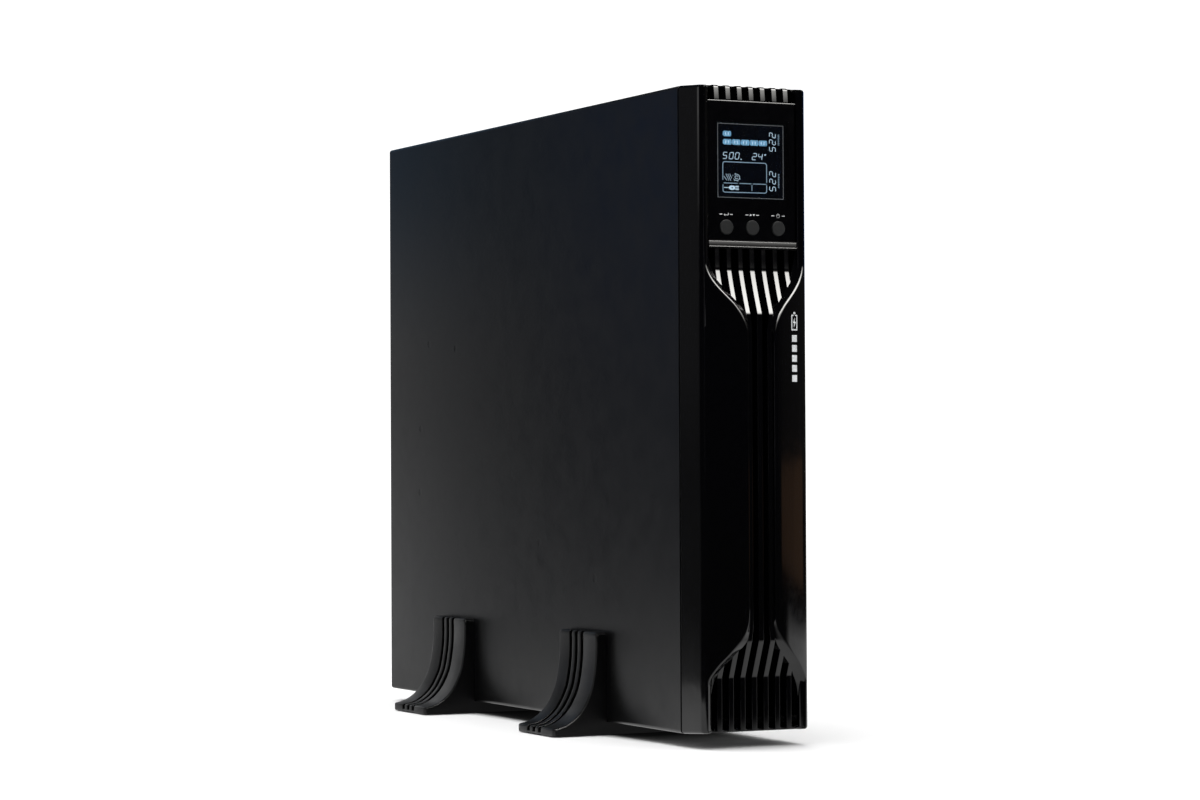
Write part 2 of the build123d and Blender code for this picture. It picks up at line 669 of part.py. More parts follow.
def bezel_end_wall(face, out):
    """Top or bottom wall, drawn in like the sides."""
    return prism_yz([
        (FRONT, face), (WALL_Y, face - out * 1.5), (CREST_Y + 0.7, face - out * 2.0),
        (FIELD_Y, face - out * 3.6), (FIELD_Y + 2.2, face - out * 3.8),
        (FRONT, face - out * WALL_T),
    ], -HALF_W, HALF_W)


def bezel_end_trim(face, out):
    """Cutter that drafts everything at the top or bottom end."""
    return prism_yz([
        (FRONT + 1, face), (FRONT, face), (WALL_Y, face - out * 1.5),
        (CREST_Y, face - out * 2.0), (CREST_Y - 20, face - out * 2.4),
        (CREST_Y - 20, face + out * 5), (FRONT + 1, face + out * 5),
    ], -HALF_W - 1, HALF_W + 1)


def wing(side):
    """Convex shell beside the waist, plus the skirt from its edge back to the ribs."""
    outer = cyl_z(ARC_R, BOTTOM, TOP, 0, ARC_Y + ARC_R)
    inner = cyl_z(ARC_R - 2.4, BOTTOM - 1, TOP + 1, 0, ARC_Y + ARC_R)
    edge = [(side * x, height(z)) for x, z in WING]
    hollow = [(side * x, height(z)) for x, z in WING_HOLLOW]
    solid = prism_xz(edge, ARC_Y - 2, ahead(22.4)) & outer
    return (solid - inner) + (solid - prism_xz(hollow, ARC_Y - 3, ahead(20)))


def rib_profiles(k):
    """Y, Z outlines of rib k counted from the centre; fronts lean out towards the waist."""
    back, field = RIB_BACK_Y, FIELD_Y
    upper = [(back, height(RIB_TOP)), (field, height(RIB_TOP)), (field, height(LEAN_TOP))]
    lower = [(field, height(LEAN_BOTTOM)), (field, height(RIB_BOTTOM)),
             (back, height(RIB_BOTTOM))]
    if k == 0:
        return [upper + [(WAIST_Y, height(WAIST_TOP)), (WAIST_Y, height(64.0))] + lower]
    # outer ribs are interrupted by the wings, 3 mm past each tip
    z1, z0 = RIB_TIPS[k][0] - 3, RIB_TIPS[k][1] + 3
    y1 = field + (LEAN_TOP - z1) / (LEAN_TOP - WAIST_TOP) * (WAIST_Y - field)
    y0 = field + (z0 - LEAN_BOTTOM) / (62.4 - LEAN_BOTTOM) * (WAIST_Y + 0.5 - field)
    return [upper + [(y1, height(z1)), (back, height(z1))],
            [(back, height(z0)), (y0, height(z0))] + lower]


def rib_parts():
    """All ribs, each with its stub above the display field."""
    stub = [(RIB_BACK_Y, height(429.2)), (FIELD_Y, height(429.2)), (FIELD_Y + 0.6, height(434.0)),
            (FIELD_Y + 3.2, height(438.0)), (RIB_BACK_Y, height(438.0))]
    parts = []
    for k in range(4):
        half = (RIB_W if k else CENTRE_RIB_W) / 2
        for side in (1, -1) if k else (1,):
            x = side * k * RIB_PITCH
            parts += [prism_yz(profile, x - half, x + half) for profile in rib_profiles(k)]
            parts.append(prism_yz(stub, x - RIB_W / 2, x + RIB_W / 2))
    return parts


def waist_parts():
    """Floor and inner side wall of the waist channel, either side of the centre rib."""
    z0, z1 = height(63.0), height(WAIST_TOP)
    parts = []
    for side in (1, -1):
        parts.append(box(side * 5.6, side * 13.4, WAIST_Y, WAIST_Y + 2.4, z0, z1))
        parts.append(box(side * 5.6, side * 7.6, WAIST_Y, ahead(22.0), z0, z1))
    return parts


def cross_parts():
    """Bars behind the ribs that tie them to the rails, and the lips at the display."""
    x = FIELD_X + 3.0
    y0, y1 = RIB_BACK_Y - 2.0, RIB_BACK_Y + 2.4
    parts = []
    for z in (6.0, 64.0, 120.0, 175.0, 230.0, 284.0, 326.5):
        z0, z1 = height(z), height(z + 4.0)
        parts.append(box(-x, x, y0, y1, z0, z1))
        for side in SIDES:
            parts.append(box(side * (FIELD_X + 1.0), side * (FIELD_X + 3.4),
                             FIELD_Y + 0.5, y1, z0, z1))
    parts.append(box(-x, x, y0, y1, height(431.0), height(438.4)))
    for front, z0, z1 in ((25.6, 329.5, 333.3), (25.2, 428.8, 430.0)):
        parts.append(box(-FIELD_X, FIELD_X, ahead(front), ahead(20.0), height(z0), height(z1)))
    return parts


def front_bezel():
    mirrored = [(-x, y) for x, y in reversed(RAIL_SECTION)]
    bezel = prism_xy(RAIL_SECTION, BOTTOM, TOP) + prism_xy(mirrored, BOTTOM, TOP)
    outline = prism_xy([
        (HALF_W, FRONT), (WALL_X, WALL_Y), (CREST_X1, CREST_Y),
        (-CREST_X1, CREST_Y), (-WALL_X, WALL_Y), (-HALF_W, FRONT),
    ], BOTTOM, TOP)
    top_wall, bottom_wall = [bezel_end_wall(*wall) & outline for wall in END_WALLS]
    bezel += top_wall + bottom_wall
    for part in [wing(1), wing(-1)] + rib_parts() + waist_parts() + cross_parts():
        bezel += part
    # bosses that carry the snap studs
    for x, z in STUDS:
        bezel += cyl_y(4.6, ahead(22.0), PLATE_Y - 3.0, x, z) & outline
    for x, z in STUDS:
        bezel -= cyl_y(STUD_R, *STUD_Y, x, z)
    for face, out in END_WALLS:
        bezel -= bezel_end_trim(face, out)
    # opening for the display module
    bezel -= box(-FIELD_X - 0.1, FIELD_X + 0.1, ahead(40), FRONT + 1,
                 height(DISPLAY_Z[0] - 0.15), height(DISPLAY_Z[1] + 0.25))
    # only the main body is kept, without loose slivers
    return max(bezel.solids(), key=lambda solid: solid.volume)


save("front_bezel", front_bezel())

# ---------------------------------------------------------------- display module
FACE_Y = ahead(24.5)            # front face of the housing
HOUSING_X = FIELD_X - 0.15      # half width
POSTS = [(side * (HOUSING_X - 3.4), height(z)) for side in SIDES for z in (337.4, 424.2)]
WINDOW_X = 28.5                 # half width
WINDOW_Z = (height(360.5), height(415.7))
WINDOW_T = 1.1
BOARD_Y = FACE_Y + 11.2         # front face of the control board
SWITCH_Y = BOARD_Y - 2.9        # front face of the switch bodies
BUTTON_R = 5.2
BUTTON_Z = height(342.6)
BUTTON_PITCH = 20.2
BUTTON_PROUD = 0.9
BUTTON_TRAVEL = 0.8
STEM_END_Y = FACE_Y + 6.6       # rear end of the button stems
BUTTONS = {"enter": -BUTTON_PITCH, "select": 0, "power": BUTTON_PITCH}  # X


def display_housing():
    x = HOUSING_X
    z0, z1 = height(DISPLAY_Z[0] + 0.1), height(DISPLAY_Z[1])
    housing = round_edges(box(-x, x, FACE_Y, ahead(7.0), z0, z1), Axis.Y, 0.8)
    housing = fillet(housing.faces().sort_by(Axis.Y)[0].edges(), 0.5)
    housing -= box(-x + 1.8, x - 1.8, FACE_Y + 2.2, ahead(6.0), z0 + 1.8, z1 - 1.8)
    # rebate and opening for the window
    housing -= box(-WINDOW_X - 0.1, WINDOW_X + 0.1, FACE_Y - 1, FACE_Y + WINDOW_T,
                   WINDOW_Z[0] - 0.1, WINDOW_Z[1] + 0.1)
    housing -= box(-26.6, 26.6, FACE_Y - 1, FACE_Y + 4, height(362.2), height(414.0))
    for button_x in BUTTONS.values():
        housing -= cyl_y(BUTTON_R + 0.07, FACE_Y - 1, FACE_Y + 4, button_x, BUTTON_Z)
    # posts down to the front plate
    for post_x, z in POSTS:
        housing += cyl_y(2.8, FACE_Y + 2.2, PLATE_Y, post_x, z)
        housing -= cyl_y(1.3, PLATE_Y - 8, PLATE_Y + 1, post_x, z)
    return housing


def lcd_module():
    lcd = box(-26.4, 26.4, FACE_Y + 2.1, FACE_Y + 6.2, height(362.4), height(413.8))
    return lcd + box(-26.0, 26.0, FACE_Y + 6.2, FACE_Y + 9.4, height(364.0), height(412.2))


def control_board():
    back = BOARD_Y + 1.6
    board = box(-30.5, 30.5, BOARD_Y, back, height(336.6), height(425.2))
    for x, z in POSTS:
        board -= cyl_y(2.9, BOARD_Y - 1, BOARD_Y + 3, x, z)
    # components: X range, Y range, height range
    for x0, x1, y0, y1, z0, z1 in [
        (-20, -8, back, back + 1.6, 380, 392),
        (4, 10, back, back + 1.2, 372, 380),
        (-24, 24, BOARD_Y - 1.4, BOARD_Y, 357, 361),
        (14, 28, back, back + 4.6, 398, 406),
    ]:
        board += box(x0, x1, y0, y1, height(z0), height(z1))
    return board


def tact_switch(x):
    switch = block(x, BUTTON_Z, 3, 3, SWITCH_Y, BOARD_Y)
    return switch + cyl_y(1.7, STEM_END_Y + BUTTON_TRAVEL + 0.05, SWITCH_Y, x, BUTTON_Z)


def button(x):
    """Cap with a rounded front, a retaining collar and a stem."""
    cap = cyl_y(BUTTON_R, FACE_Y - BUTTON_PROUD, FACE_Y + 3.0, x, BUTTON_Z)
    cap = round_rim(cap, Axis.Y, 0.6, end=0)
    cap += cyl_y(BUTTON_R + 1.0, FACE_Y + 2.4, FACE_Y + 3.4, x, BUTTON_Z)
    return cap + cyl_y(1.8, FACE_Y + 3.4, STEM_END_Y, x, BUTTON_Z)


def display_cable():
    """Ribbon cable from the control board back through the front plate."""
    start = BOARD_Y + 6.2
    return prism_yz([
        (start, height(402.0)), (depth(12.0), height(402.0)), (depth(26.0), height(396.0)),
        (depth(26.0), height(395.2)), (depth(11.9), height(401.2)), (start, height(401.2)),
    ], 15.0, 27.0)


save("display_housing", display_housing())
save("display_window", box(-WINDOW_X, WINDOW_X, FACE_Y, FACE_Y + WINDOW_T, *WINDOW_Z))
save("lcd_module", lcd_module())
save("control_board", control_board())
save("tact_switches", *[tact_switch(x) for x in BUTTONS.values()])
for button_name, x in BUTTONS.items():
    save(f"button_{button_name}", button(x))
save("display_cable", display_cable())

# ---------------------------------------------------------------- battery pack
PACK_X0, PACK_X1 = BAY_X0, BAY_X1 - 0.3
PACK_Y = depth(5.0)
PACK_L = 306.0
PACK_Z = BOTTOM + SHEET + TRAY_RAIL_H
TRAY_T = 1.0
BATTERY_L, BATTERY_H = 151.0, 94.0
# near corner Y and bottom Z of the four batteries
BATTERIES = [
    (PACK_Y + 1.6 + column * (BATTERY_L + 0.6), PACK_Z + 1.1 + row * (BATTERY_H + 6.6))
    for row in range(2) for column in range(2)
]


def battery_tray():
    """Floor with rear, front and +X walls, and a pull tab at the front."""
    y1, z = PACK_Y + PACK_L, PACK_Z + TRAY_T
    tray = box(PACK_X0, PACK_X1, PACK_Y, y1, PACK_Z, z)
    tray += box(PACK_X0, PACK_X1, y1 - TRAY_T, y1, z, PACK_Z + 60)
    tray += box(PACK_X0, PACK_X1, PACK_Y, PACK_Y + TRAY_T, z, PACK_Z + 24)
    tray += box(PACK_X1 - TRAY_T, PACK_X1, PACK_Y + TRAY_T, y1 - TRAY_T, z, PACK_Z + 24)
    return tray + box(-22, 8, PACK_Y - 3.0, PACK_Y, PACK_Z + 10, PACK_Z + 11)


def battery(y, z):
    top = z + BATTERY_H
    body = box(PACK_X0 + 0.2, PACK_X1 - 1.3, y, y + BATTERY_L, z, top)
    body = round_edges(body, Axis.Z, 2.0)
    return body - box(PACK_X0 + 8, PACK_X1 - 9, y + 30, y + BATTERY_L - 30, top - 1.2, top + 1)


def battery_terminal(y, z):
    """Upright blade on a base plate."""
    blade = box(-30, -23.7, y - 0.4, y + 0.4, z, z + 5.6)
    return blade + box(-31, -22.7, y - 4, y + 4, z, z + 0.8)


def battery_connector():
    body = box(27.5, 37.5, depth(6.0), depth(22.0), height(144.0), height(166.0))
    for z0, z1 in ((146.5, 153.8), (156.2, 163.5)):
        body -= box(29.5, 35.5, depth(3.0), depth(14.0), height(z0), height(z1))
    return body


save("battery_tray", battery_tray())
save("battery_blocks", *[battery(y, z) for y, z in BATTERIES])
save("battery_terminals", *[
    battery_terminal(terminal_y, z + BATTERY_H)
    for y, z in BATTERIES for terminal_y in (y + 12, y + BATTERY_L - 12)
])
save("battery_connector", battery_connector())

# ---------------------------------------------------------------- power electronics
BOARD_X = -34.8                 # -X face of the main board
MAIN_X = BOARD_X + 1.6          # component face of the main board
STANDOFFS = [(y, height(z)) for y in (depth(30), depth(235), REAR - 46) for z in (240, 428)]
# depth, height, size in Y, size in Z, component height: blocks moulded to the board
BOARD_PARTS = [
    (60, 300, 24, 24, 3.0), (96, 268, 10, 24, 14.0), (118, 268, 10, 24, 14.0),
    (52, 404, 30, 8, 9.0), (60, 344, 8, 34, 9.0), (92, 420, 26, 12, 18.0),
    (404, 246, 30, 12, 16.0), (404, 268, 30, 12, 16.0), (430, 300, 12, 34, 12.0),
    (300, 424, 40, 10, 12.0), (160, 424, 34, 12, 16.0), (210, 424, 34, 12, 16.0),
    (84, 242, 30, 10, 10.0), (114, 240, 20, 9, 12.0),
]
HEATSINK_Z = {"lower": height(297), "upper": height(367)}
HEATSINK_BASE = 2.0             # half thickness of the base wall
COMPONENT_PITCH = 36
RELAYS = [(418, 330), (418, 352), (418, 374), (418, 396), (250, 407)]   # depth, height


def main_board():
    board = box(BOARD_X, MAIN_X, depth(24), REAR - 38, height(234), height(434))
    for y, z in STANDOFFS:
        board -= cyl_x(1.6, BOARD_X - 1, BOARD_X + 3, y, z)
    for y, z, size_y, size_z, tall in BOARD_PARTS:
        y, z = depth(y), height(z)
        board += box(MAIN_X, MAIN_X + tall, y - size_y / 2, y + size_y / 2,
                     z - size_z / 2, z + size_z / 2)
    return board


def standoff(y, z):
    """Post from the insulating sheet, through the board, with a head on the far side."""
    post = cyl_x(2.8, -INNER_X + 0.34, BOARD_X, y, z)
    head = cyl_x(2.8, MAIN_X, MAIN_X + 1.8, y, z)
    return post + (cyl_x(1.55, BOARD_X, MAIN_X, y, z) + head)


def heatsink(zc):
    """Base wall standing on the board, with nine fins hanging below it."""
    y0, y1 = depth(90), depth(400)
    sink = box(MAIN_X, MAIN_X + 62, y0, y1, zc - HEATSINK_BASE, zc + HEATSINK_BASE)
    for i in range(9):
        x = MAIN_X + 6 + i * 6.6
        sink += box(x, x + 1.4, y0, y1, zc - 15, zc - HEATSINK_BASE)
    return sink


def transistor(y, zc):
    """Package lying on top of a heatsink base, with three legs to the board."""
    z = zc + HEATSINK_BASE
    body = box(MAIN_X + 14, MAIN_X + 35, y - 8, y + 8, z, z + 5.0)
    for dy in (-5.4, 0, 5.4):
        body += box(MAIN_X, MAIN_X + 14, y + dy - 0.6, y + dy + 0.6, z + 2.0, z + 2.7)
    return body - cyl_z(1.8, zc, zc + 9, MAIN_X + 29.5, y)


def capacitor(y):
    """Can with a rounded end and a shallow groove around it."""
    z = height(335.2)
    can = round_rim(cyl_x(15.0, MAIN_X, MAIN_X + 46, y, z), Axis.X, 1.6)
    groove = Cylinder(15.5, 1.0) - Cylinder(14.2, 1.0)
    return can - Pos(MAIN_X + 40, y, z) * Rot(0, 90, 0) * groove


def transformer():
    """Ferrite frame around a wound bobbin."""
    y, z = depth(352), height(407)
    body = box(MAIN_X, MAIN_X + 48, y - 24, y + 24, z - 20, z + 20)
    body -= box(MAIN_X + 9, MAIN_X + 39, y - 25, y + 25, z - 15, z + 15)
    body += box(MAIN_X + 9, MAIN_X + 39, y - 14, y + 14, z - 15, z + 15)
    return body + box(MAIN_X + 11, MAIN_X + 37, y - 31, y + 31, z - 13, z + 13)


def inductor(y):
    """Toroid on a base block."""
    z = height(254)
    ring = Pos(MAIN_X + 22.2, y, z) * (Rot(90, 0, 0) * Torus(14.0, 7.6))
    return ring + box(MAIN_X, MAIN_X + 3.0, y - 9, y + 9, z - 12, z + 12)


def relay(y, z):
    return round_edges(box(MAIN_X, MAIN_X + 24, y - 14, y + 14, z - 8, z + 8), Axis.X, 1.2)


save("insulating_sheet", box(-INNER_X + 0.02, -INNER_X + 0.32, depth(18), REAR - 34,
                             height(232), height(436)))
save("board_standoffs", *[standoff(y, z) for y, z in STANDOFFS])
save("main_board", main_board())
for place, zc in HEATSINK_Z.items():
    save(f"heatsink_{place}", heatsink(zc))
save("power_transistors", *[
    transistor(depth(112 + i * COMPONENT_PITCH), zc)
    for zc in HEATSINK_Z.values() for i in range(8)
])
save("dc_capacitors", *[capacitor(depth(120 + i * COMPONENT_PITCH)) for i in range(6)])
save("transformer", transformer())
save("inductors", *[inductor(depth(150 + i * 62)) for i in range(4)])
save("relays", *[relay(depth(y), height(z)) for y, z in RELAYS])

# two leads along Y from the battery connector, three upright ones above the outlets
battery_leads = [
    cyl_y(2.0, depth(22), depth(300), x, height(z)) for x, z in ((30.0, 150.0), (34.5, 160.0))
]
outlet_leads = [
    cyl_z(1.6, height(150.0), height(226.0), x, REAR - 60) for x in (-32.0, -24.0, -16.0)
]
save("power_leads", *battery_leads, *outlet_leads)
save("pan_screws", *pan_screws)

# ---------------------------------------------------------------- stand feet
FOOT_Z = 0.6                    # underside of the moulding, above the floor
PAD_TOP = FOOT_Z + 0.9          # the pads sit in recesses
FEET = {"front": (109.1, 170.5), "rear": (334.7, 397.2)}    # depths of the two ends
PADS = ((-79.0, 4.2), (-20.0, 6.0))     # centre X on the left foot, half width
GROOVES = (25.0, 34.0, 43.0)    # along the foot, for a foot GROOVE_REF long
GROOVE_REF = 61.5
# curved faces of the left foot, X, Z from the top down: outside, hollow, groove floor
FOOT_CURVE = [
    (-52.2, 72.1), (-52.5, 61.0), (-54.2, 49.3), (-56.8, 37.7),
    (-61.6, 26.2), (-69.5, 16.0), (-78.6, 8.3), (-84.5, 5.8),
]
HOLLOW_CURVE = [
    (-50.0, 66.0), (-50.2, 58.0), (-51.4, 48.0), (-54.2, 36.0),
    (-58.6, 25.0), (-64.5, 15.5), (-70.0, 9.6), (-73.0, 6.6),
]
GROOVE_CURVE = [
    (-50.9, 69.5), (-51.1, 60.6), (-52.8, 48.6), (-55.4, 36.9),
    (-60.4, 25.2), (-68.6, 14.8), (-77.9, 7.0), (-86.0, 3.4),
]


def curved_prism(curve, corners, y0, y1):
    """Spline closed by straight lines through the corners, extruded along Y."""
    back = Polyline(curve[-1], *corners, curve[0])
    return extrude_xz([Spline(curve), back], y0, y1)


def foot(y0, y1, tongue):
    """Left foot; it meets the right one under the case with a tongue or a pocket."""
    middle = (y0 + y1) / 2
    side_x = -HALF_W - 0.05
    case_z = BOTTOM - 0.02
    body = curved_prism(FOOT_CURVE, [
        (-84.5, FOOT_Z), (-0.05, FOOT_Z), (-0.05, case_z), (side_x, case_z), (side_x, 72.1),
    ], y0, y1)
    body = fillet(body.edges().filter_by(Axis.Z).group_by(Axis.X)[0], 4.0)
    # hollow from below, leaving two webs
    for start, end in ((y0 + 3, y0 + 19.5), (y0 + 22, y1 - 22), (y1 - 19.5, y1 - 3)):
        corners = [(-73.0, FOOT_Z - 1), (-46.8, FOOT_Z - 1), (-46.8, 66.0)]
        body -= curved_prism(HOLLOW_CURVE, corners, start, end)
    # three grooves down the curved face
    for station in GROOVES:
        y = y0 + station * (y1 - y0) / GROOVE_REF
        body -= curved_prism(GROOVE_CURVE, [(-90.0, 8.0), (-90.0, 69.5)], y - 1.5, y + 1.5)
        body -= box(-90, -81.5, y - 1.5, y + 1.5, 1.8, 9.0)
    if tongue:
        body += box(-6, 14.0, middle - 12, middle + 12, FOOT_Z + 2.2, BOTTOM - 2.2)
    else:
        body -= box(-14.2, 1.0, middle - 12.2, middle + 12.2, FOOT_Z + 2.0, BOTTOM - 2.0)
    for x, half in PADS:
        half += 0.05
        body -= box(x - half, x + half, middle - 20.05, middle + 20.05, FOOT_Z - 1, PAD_TOP)
    return body


def foot_pad(x, half, y):
    return round_edges(box(x - half, x + half, y - 20, y + 20, 0, PAD_TOP), Axis.Z, 2.0)


pads = []
for place, (start, end) in FEET.items():
    y0, y1 = depth(start), depth(end)
    save(f"stand_foot_{place}_left", foot(y0, y1, tongue=True))
    save(f"stand_foot_{place}_right", foot(y0, y1, tongue=False).mirror(Plane.YZ))
    pads += [foot_pad(side * x, half, (y0 + y1) / 2) for side in SIDES for x, half in PADS]
save("foot_pads", *pads)
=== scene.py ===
"""Tower power unit standing upright on four plastic feet.

The row frame is in metres: x to the right seen from the front, y to the rear, z up. Shapes
on the case are written in millimetres from the middle of the case, from its front edge (y,
negative in front of it) and from its bottom (z). The display and the ribbed gloss bezel
face -y.
"""
import bpy
import bmesh
import math
import numpy as np
from mathutils import Matrix, Vector


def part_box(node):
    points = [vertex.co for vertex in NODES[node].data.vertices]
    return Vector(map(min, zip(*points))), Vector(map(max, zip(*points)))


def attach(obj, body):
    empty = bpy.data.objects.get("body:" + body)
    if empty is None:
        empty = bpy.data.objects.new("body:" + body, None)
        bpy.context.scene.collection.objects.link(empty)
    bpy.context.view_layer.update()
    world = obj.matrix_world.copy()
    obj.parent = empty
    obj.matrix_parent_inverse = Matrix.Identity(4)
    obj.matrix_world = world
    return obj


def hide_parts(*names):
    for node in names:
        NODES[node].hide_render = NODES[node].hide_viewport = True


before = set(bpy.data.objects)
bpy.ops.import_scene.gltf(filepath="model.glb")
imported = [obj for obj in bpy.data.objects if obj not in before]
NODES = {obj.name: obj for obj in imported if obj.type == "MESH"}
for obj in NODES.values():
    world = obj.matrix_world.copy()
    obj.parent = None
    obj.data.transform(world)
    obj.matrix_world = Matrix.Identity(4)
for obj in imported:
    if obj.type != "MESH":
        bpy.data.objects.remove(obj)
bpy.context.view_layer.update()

MM = 0.001

case_low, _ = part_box("chassis_tray")
CASE_FRONT = case_low.y * 1000.0
CASE_BOTTOM = case_low.z * 1000.0


def from_case(p):
    """Case millimetres -> row metres."""
    return (p[0] * MM, (p[1] + CASE_FRONT) * MM, (p[2] + CASE_BOTTOM) * MM)


def from_row(p):
    """Row millimetres -> row metres."""
    return (p[0] * MM, p[1] * MM, p[2] * MM)


def smooth(start, end, x):
    """Eased 0 to 1 as x goes from start to end; start may be the larger."""
    t = min(max((x - start) / (end - start), 0.0), 1.0)
    return t * t * (3 - 2 * t)


# =============================================================== shader building
def srgb(code):
    """'#rrggbb' -> linear RGBA."""
    channels = [int(code[i:i + 2], 16) / 255 for i in (1, 3, 5)]
    return [c / 12.92 if c <= 0.04045 else ((c + 0.055) / 1.055) ** 2.4
            for c in channels] + [1.0]


def gray(value):
    return [value, value, value, 1]


class Graph:
    """Builds one node tree. Any input may be given as a number, a colour or a socket."""

    def __init__(self, tree, output_kind):
        self.tree = tree
        tree.nodes.clear()
        self.output = self.node(output_kind)

    def node(self, kind, inputs=None, **settings):
        new = self.tree.nodes.new("ShaderNode" + kind)
        for key, value in settings.items():
            setattr(new, key, value)
        for key, value in (inputs or {}).items():
            if isinstance(value, bpy.types.NodeSocket):
                self.tree.links.new(value, new.inputs[key])
            else:
                new.inputs[key].default_value = value
        return new

    def finish(self, shader):
        self.tree.links.new(shader, self.output.inputs[0])

    def coords(self, kind="Object"):
        return self.node("TexCoord").outputs[kind]

    def geometry(self, kind):
        return self.node("NewGeometry").outputs[kind]

    def ray(self, kind):
        return self.node("LightPath").outputs[kind]

    def axes(self, vector):
        return tuple(self.node("SeparateXYZ", {0: vector}).outputs)

    def noise(self, vector, scale, detail=3.0, rough=0.55):
        return self.node("TexNoise", {"Vector": vector, "Scale": scale, "Detail": detail,
                                      "Roughness": rough}).outputs["Fac"]

    def remap(self, value, source, target=(0.0, 1.0)):
        """Map the source pair onto the target pair, clamped."""
        return self.node("MapRange", {
            "Value": value, "From Min": source[0], "From Max": source[1],
            "To Min": target[0], "To Max": target[1]}).outputs["Result"]

    def calc(self, operation, *values, clamp=False):
        return self.node("Math", dict(enumerate(values)), operation=operation,
                         use_clamp=clamp).outputs[0]

    def mul(self, first, *others):
        for other in others:
            first = self.calc("MULTIPLY", first, other)
        return first

    def add(self, a, b):
        return self.calc("ADD", a, b)

    def sub(self, a, b):
        return self.calc("SUBTRACT", a, b)

    def mix(self, factor, a, b, mode="MIX"):
        """Mix two colours."""
        return self.node("Mix", {0: factor, 6: a, 7: b}, data_type="RGBA",
                         blend_type=mode).outputs[2]

    def mix_shader(self, factor, a, b):
        return self.node("MixShader", {0: factor, 1: a, 2: b}).outputs[0]

    def emission(self, inputs):
        return self.node("Emission", inputs).outputs[0]

    def background(self, color, strength):
        return self.node("Background", {0: color, 1: strength}).outputs[0]

    def bevel(self, radius):
        return self.node("Bevel", {"Radius": radius}, samples=4).outputs[0]

    def edge_mask(self, radius, gain):
        """White on edges narrower than radius (metres)."""
        dot = self.node("VectorMath", {0: self.bevel(radius), 1: self.geometry("Normal")},
                        operation="DOT_PRODUCT").outputs["Value"]
        return self.calc("MULTIPLY", self.sub(1.0, dot), gain, clamp=True)


def new_material(name):
    mat = bpy.data.materials.new(name)
    mat.use_nodes = True
    return mat, Graph(mat.node_tree, "OutputMaterial")


# =============================================================== materials
MATERIALS = {}
BREAKUP = (0.3, 0.7)  # the part of a noise's range that carries the variation


def dress(pieces, mat):
    """Give the named CAD pieces this material alone."""
    for piece in pieces.split():
        slots = NODES[piece].data.materials
        slots.clear()
        slots.append(mat)


def add_dust(g, vector, color, rough, amount):
    """Pale, rough specks on faces that look up."""
    normal_z = g.axes(g.geometry("Normal"))[2]
    upward = g.calc("POWER", g.calc("MAXIMUM", normal_z, 0.0), 2.0)
    specks = g.remap(g.noise(vector, scale=420.0, detail=2.0, rough=0.5),
                     (0.5, 0.75), (0.25, 1.0))
    dusty = g.mul(upward, specks, amount)
    return (g.mix(dusty, color, srgb("#8c8c88")),
            g.calc("ADD", rough, g.mul(dusty, 0.5), clamp=True))


def scratches(g, vector):
    """Sparse long streaks."""
    streaked = g.node("Mapping", {"Vector": vector, "Scale": (40.0, 900.0, 4.0),
                                  "Rotation": (0.35, 0.2, 0.5)}).outputs[0]
    return g.remap(g.noise(streaked, scale=3.0, detail=2.0, rough=0.5), (0.68, 0.72))


def surface(name, color, rough=0.4, metal=0.0, spec=0.5, var=0.12, rough_var=0.06,
            rough_scale=60.0, grain=900.0, grain_depth=0.00003, grain_strength=0.3,
            blotch=14.0, bevel=0.0003, wear=None, wear_gain=5.0, coat=0.0, stretch=None,
            dust=0.0, scratch=0.0):
    """Surface with colour blotches (blotch, var), roughness breakup (rough_scale,
    rough_var), fine grain bump, softened edges (bevel, metres) and worn edges (wear)."""
    mat, g = new_material(name)
    vector = g.coords()
    grain_vector = vector
    if stretch:
        grain_vector = g.node("Mapping", {"Vector": vector, "Scale": stretch}).outputs[0]

    base = srgb(color)[:3]
    dark = [max(0.0, c * (1 - var)) for c in base] + [1]
    light = [min(1.0, c * (1 + var)) for c in base] + [1]
    blotches = g.noise(vector, scale=blotch, detail=4.0, rough=0.6)
    shade = g.mix(g.remap(blotches, BREAKUP), dark, light)
    smears = g.noise(grain_vector, scale=rough_scale, detail=5.0, rough=0.65)
    roughness = g.remap(smears, BREAKUP,
                        (max(0.02, rough - rough_var), min(1.0, rough + rough_var)))
    if wear:
        edges = g.edge_mask(max(bevel, 0.0004), wear_gain)
        patches = g.remap(g.noise(vector, scale=90.0, detail=4.0, rough=0.7), (0.42, 0.62))
        shade = g.mix(g.mul(edges, patches), shade, srgb(wear))
    if dust:
        shade, roughness = add_dust(g, vector, shade, roughness, dust)

    height = g.noise(grain_vector, scale=grain, detail=3.0, rough=0.6)
    if scratch:
        height = g.add(height, g.mul(scratches(g, vector), -scratch))
    bump = {"Strength": grain_strength, "Distance": grain_depth, "Height": height}
    if bevel:
        bump["Normal"] = g.bevel(bevel)
    g.finish(g.node("BsdfPrincipled", {
        "Base Color": shade, "Roughness": roughness, "Metallic": metal,
        "Specular IOR Level": spec, "IOR": 1.5, "Coat Weight": coat,
        "Coat Roughness": 0.05, "Normal": g.node("Bump", bump).outputs[0]}).outputs[0])
    return mat


def finish(name, color, pieces="", **look):
    """Make a surface and put it on CAD pieces."""
    MATERIALS[name] = surface(name, color, **look)
    dress(pieces, MATERIALS[name])


GLOSS = dict(spec=0.5, var=0.2, rough_var=0.03, grain=1500, grain_depth=0.000004,
             grain_strength=0.12, blotch=20, rough_scale=160, scratch=0.25, dust=0.01)
# shared look of the two painted-shade copies of the foot plastic below
FOOT_SHADE_LOOK = dict(var=0.2, rough_var=0.05, grain=1400, grain_depth=0.00002,
                  grain_strength=0.3)

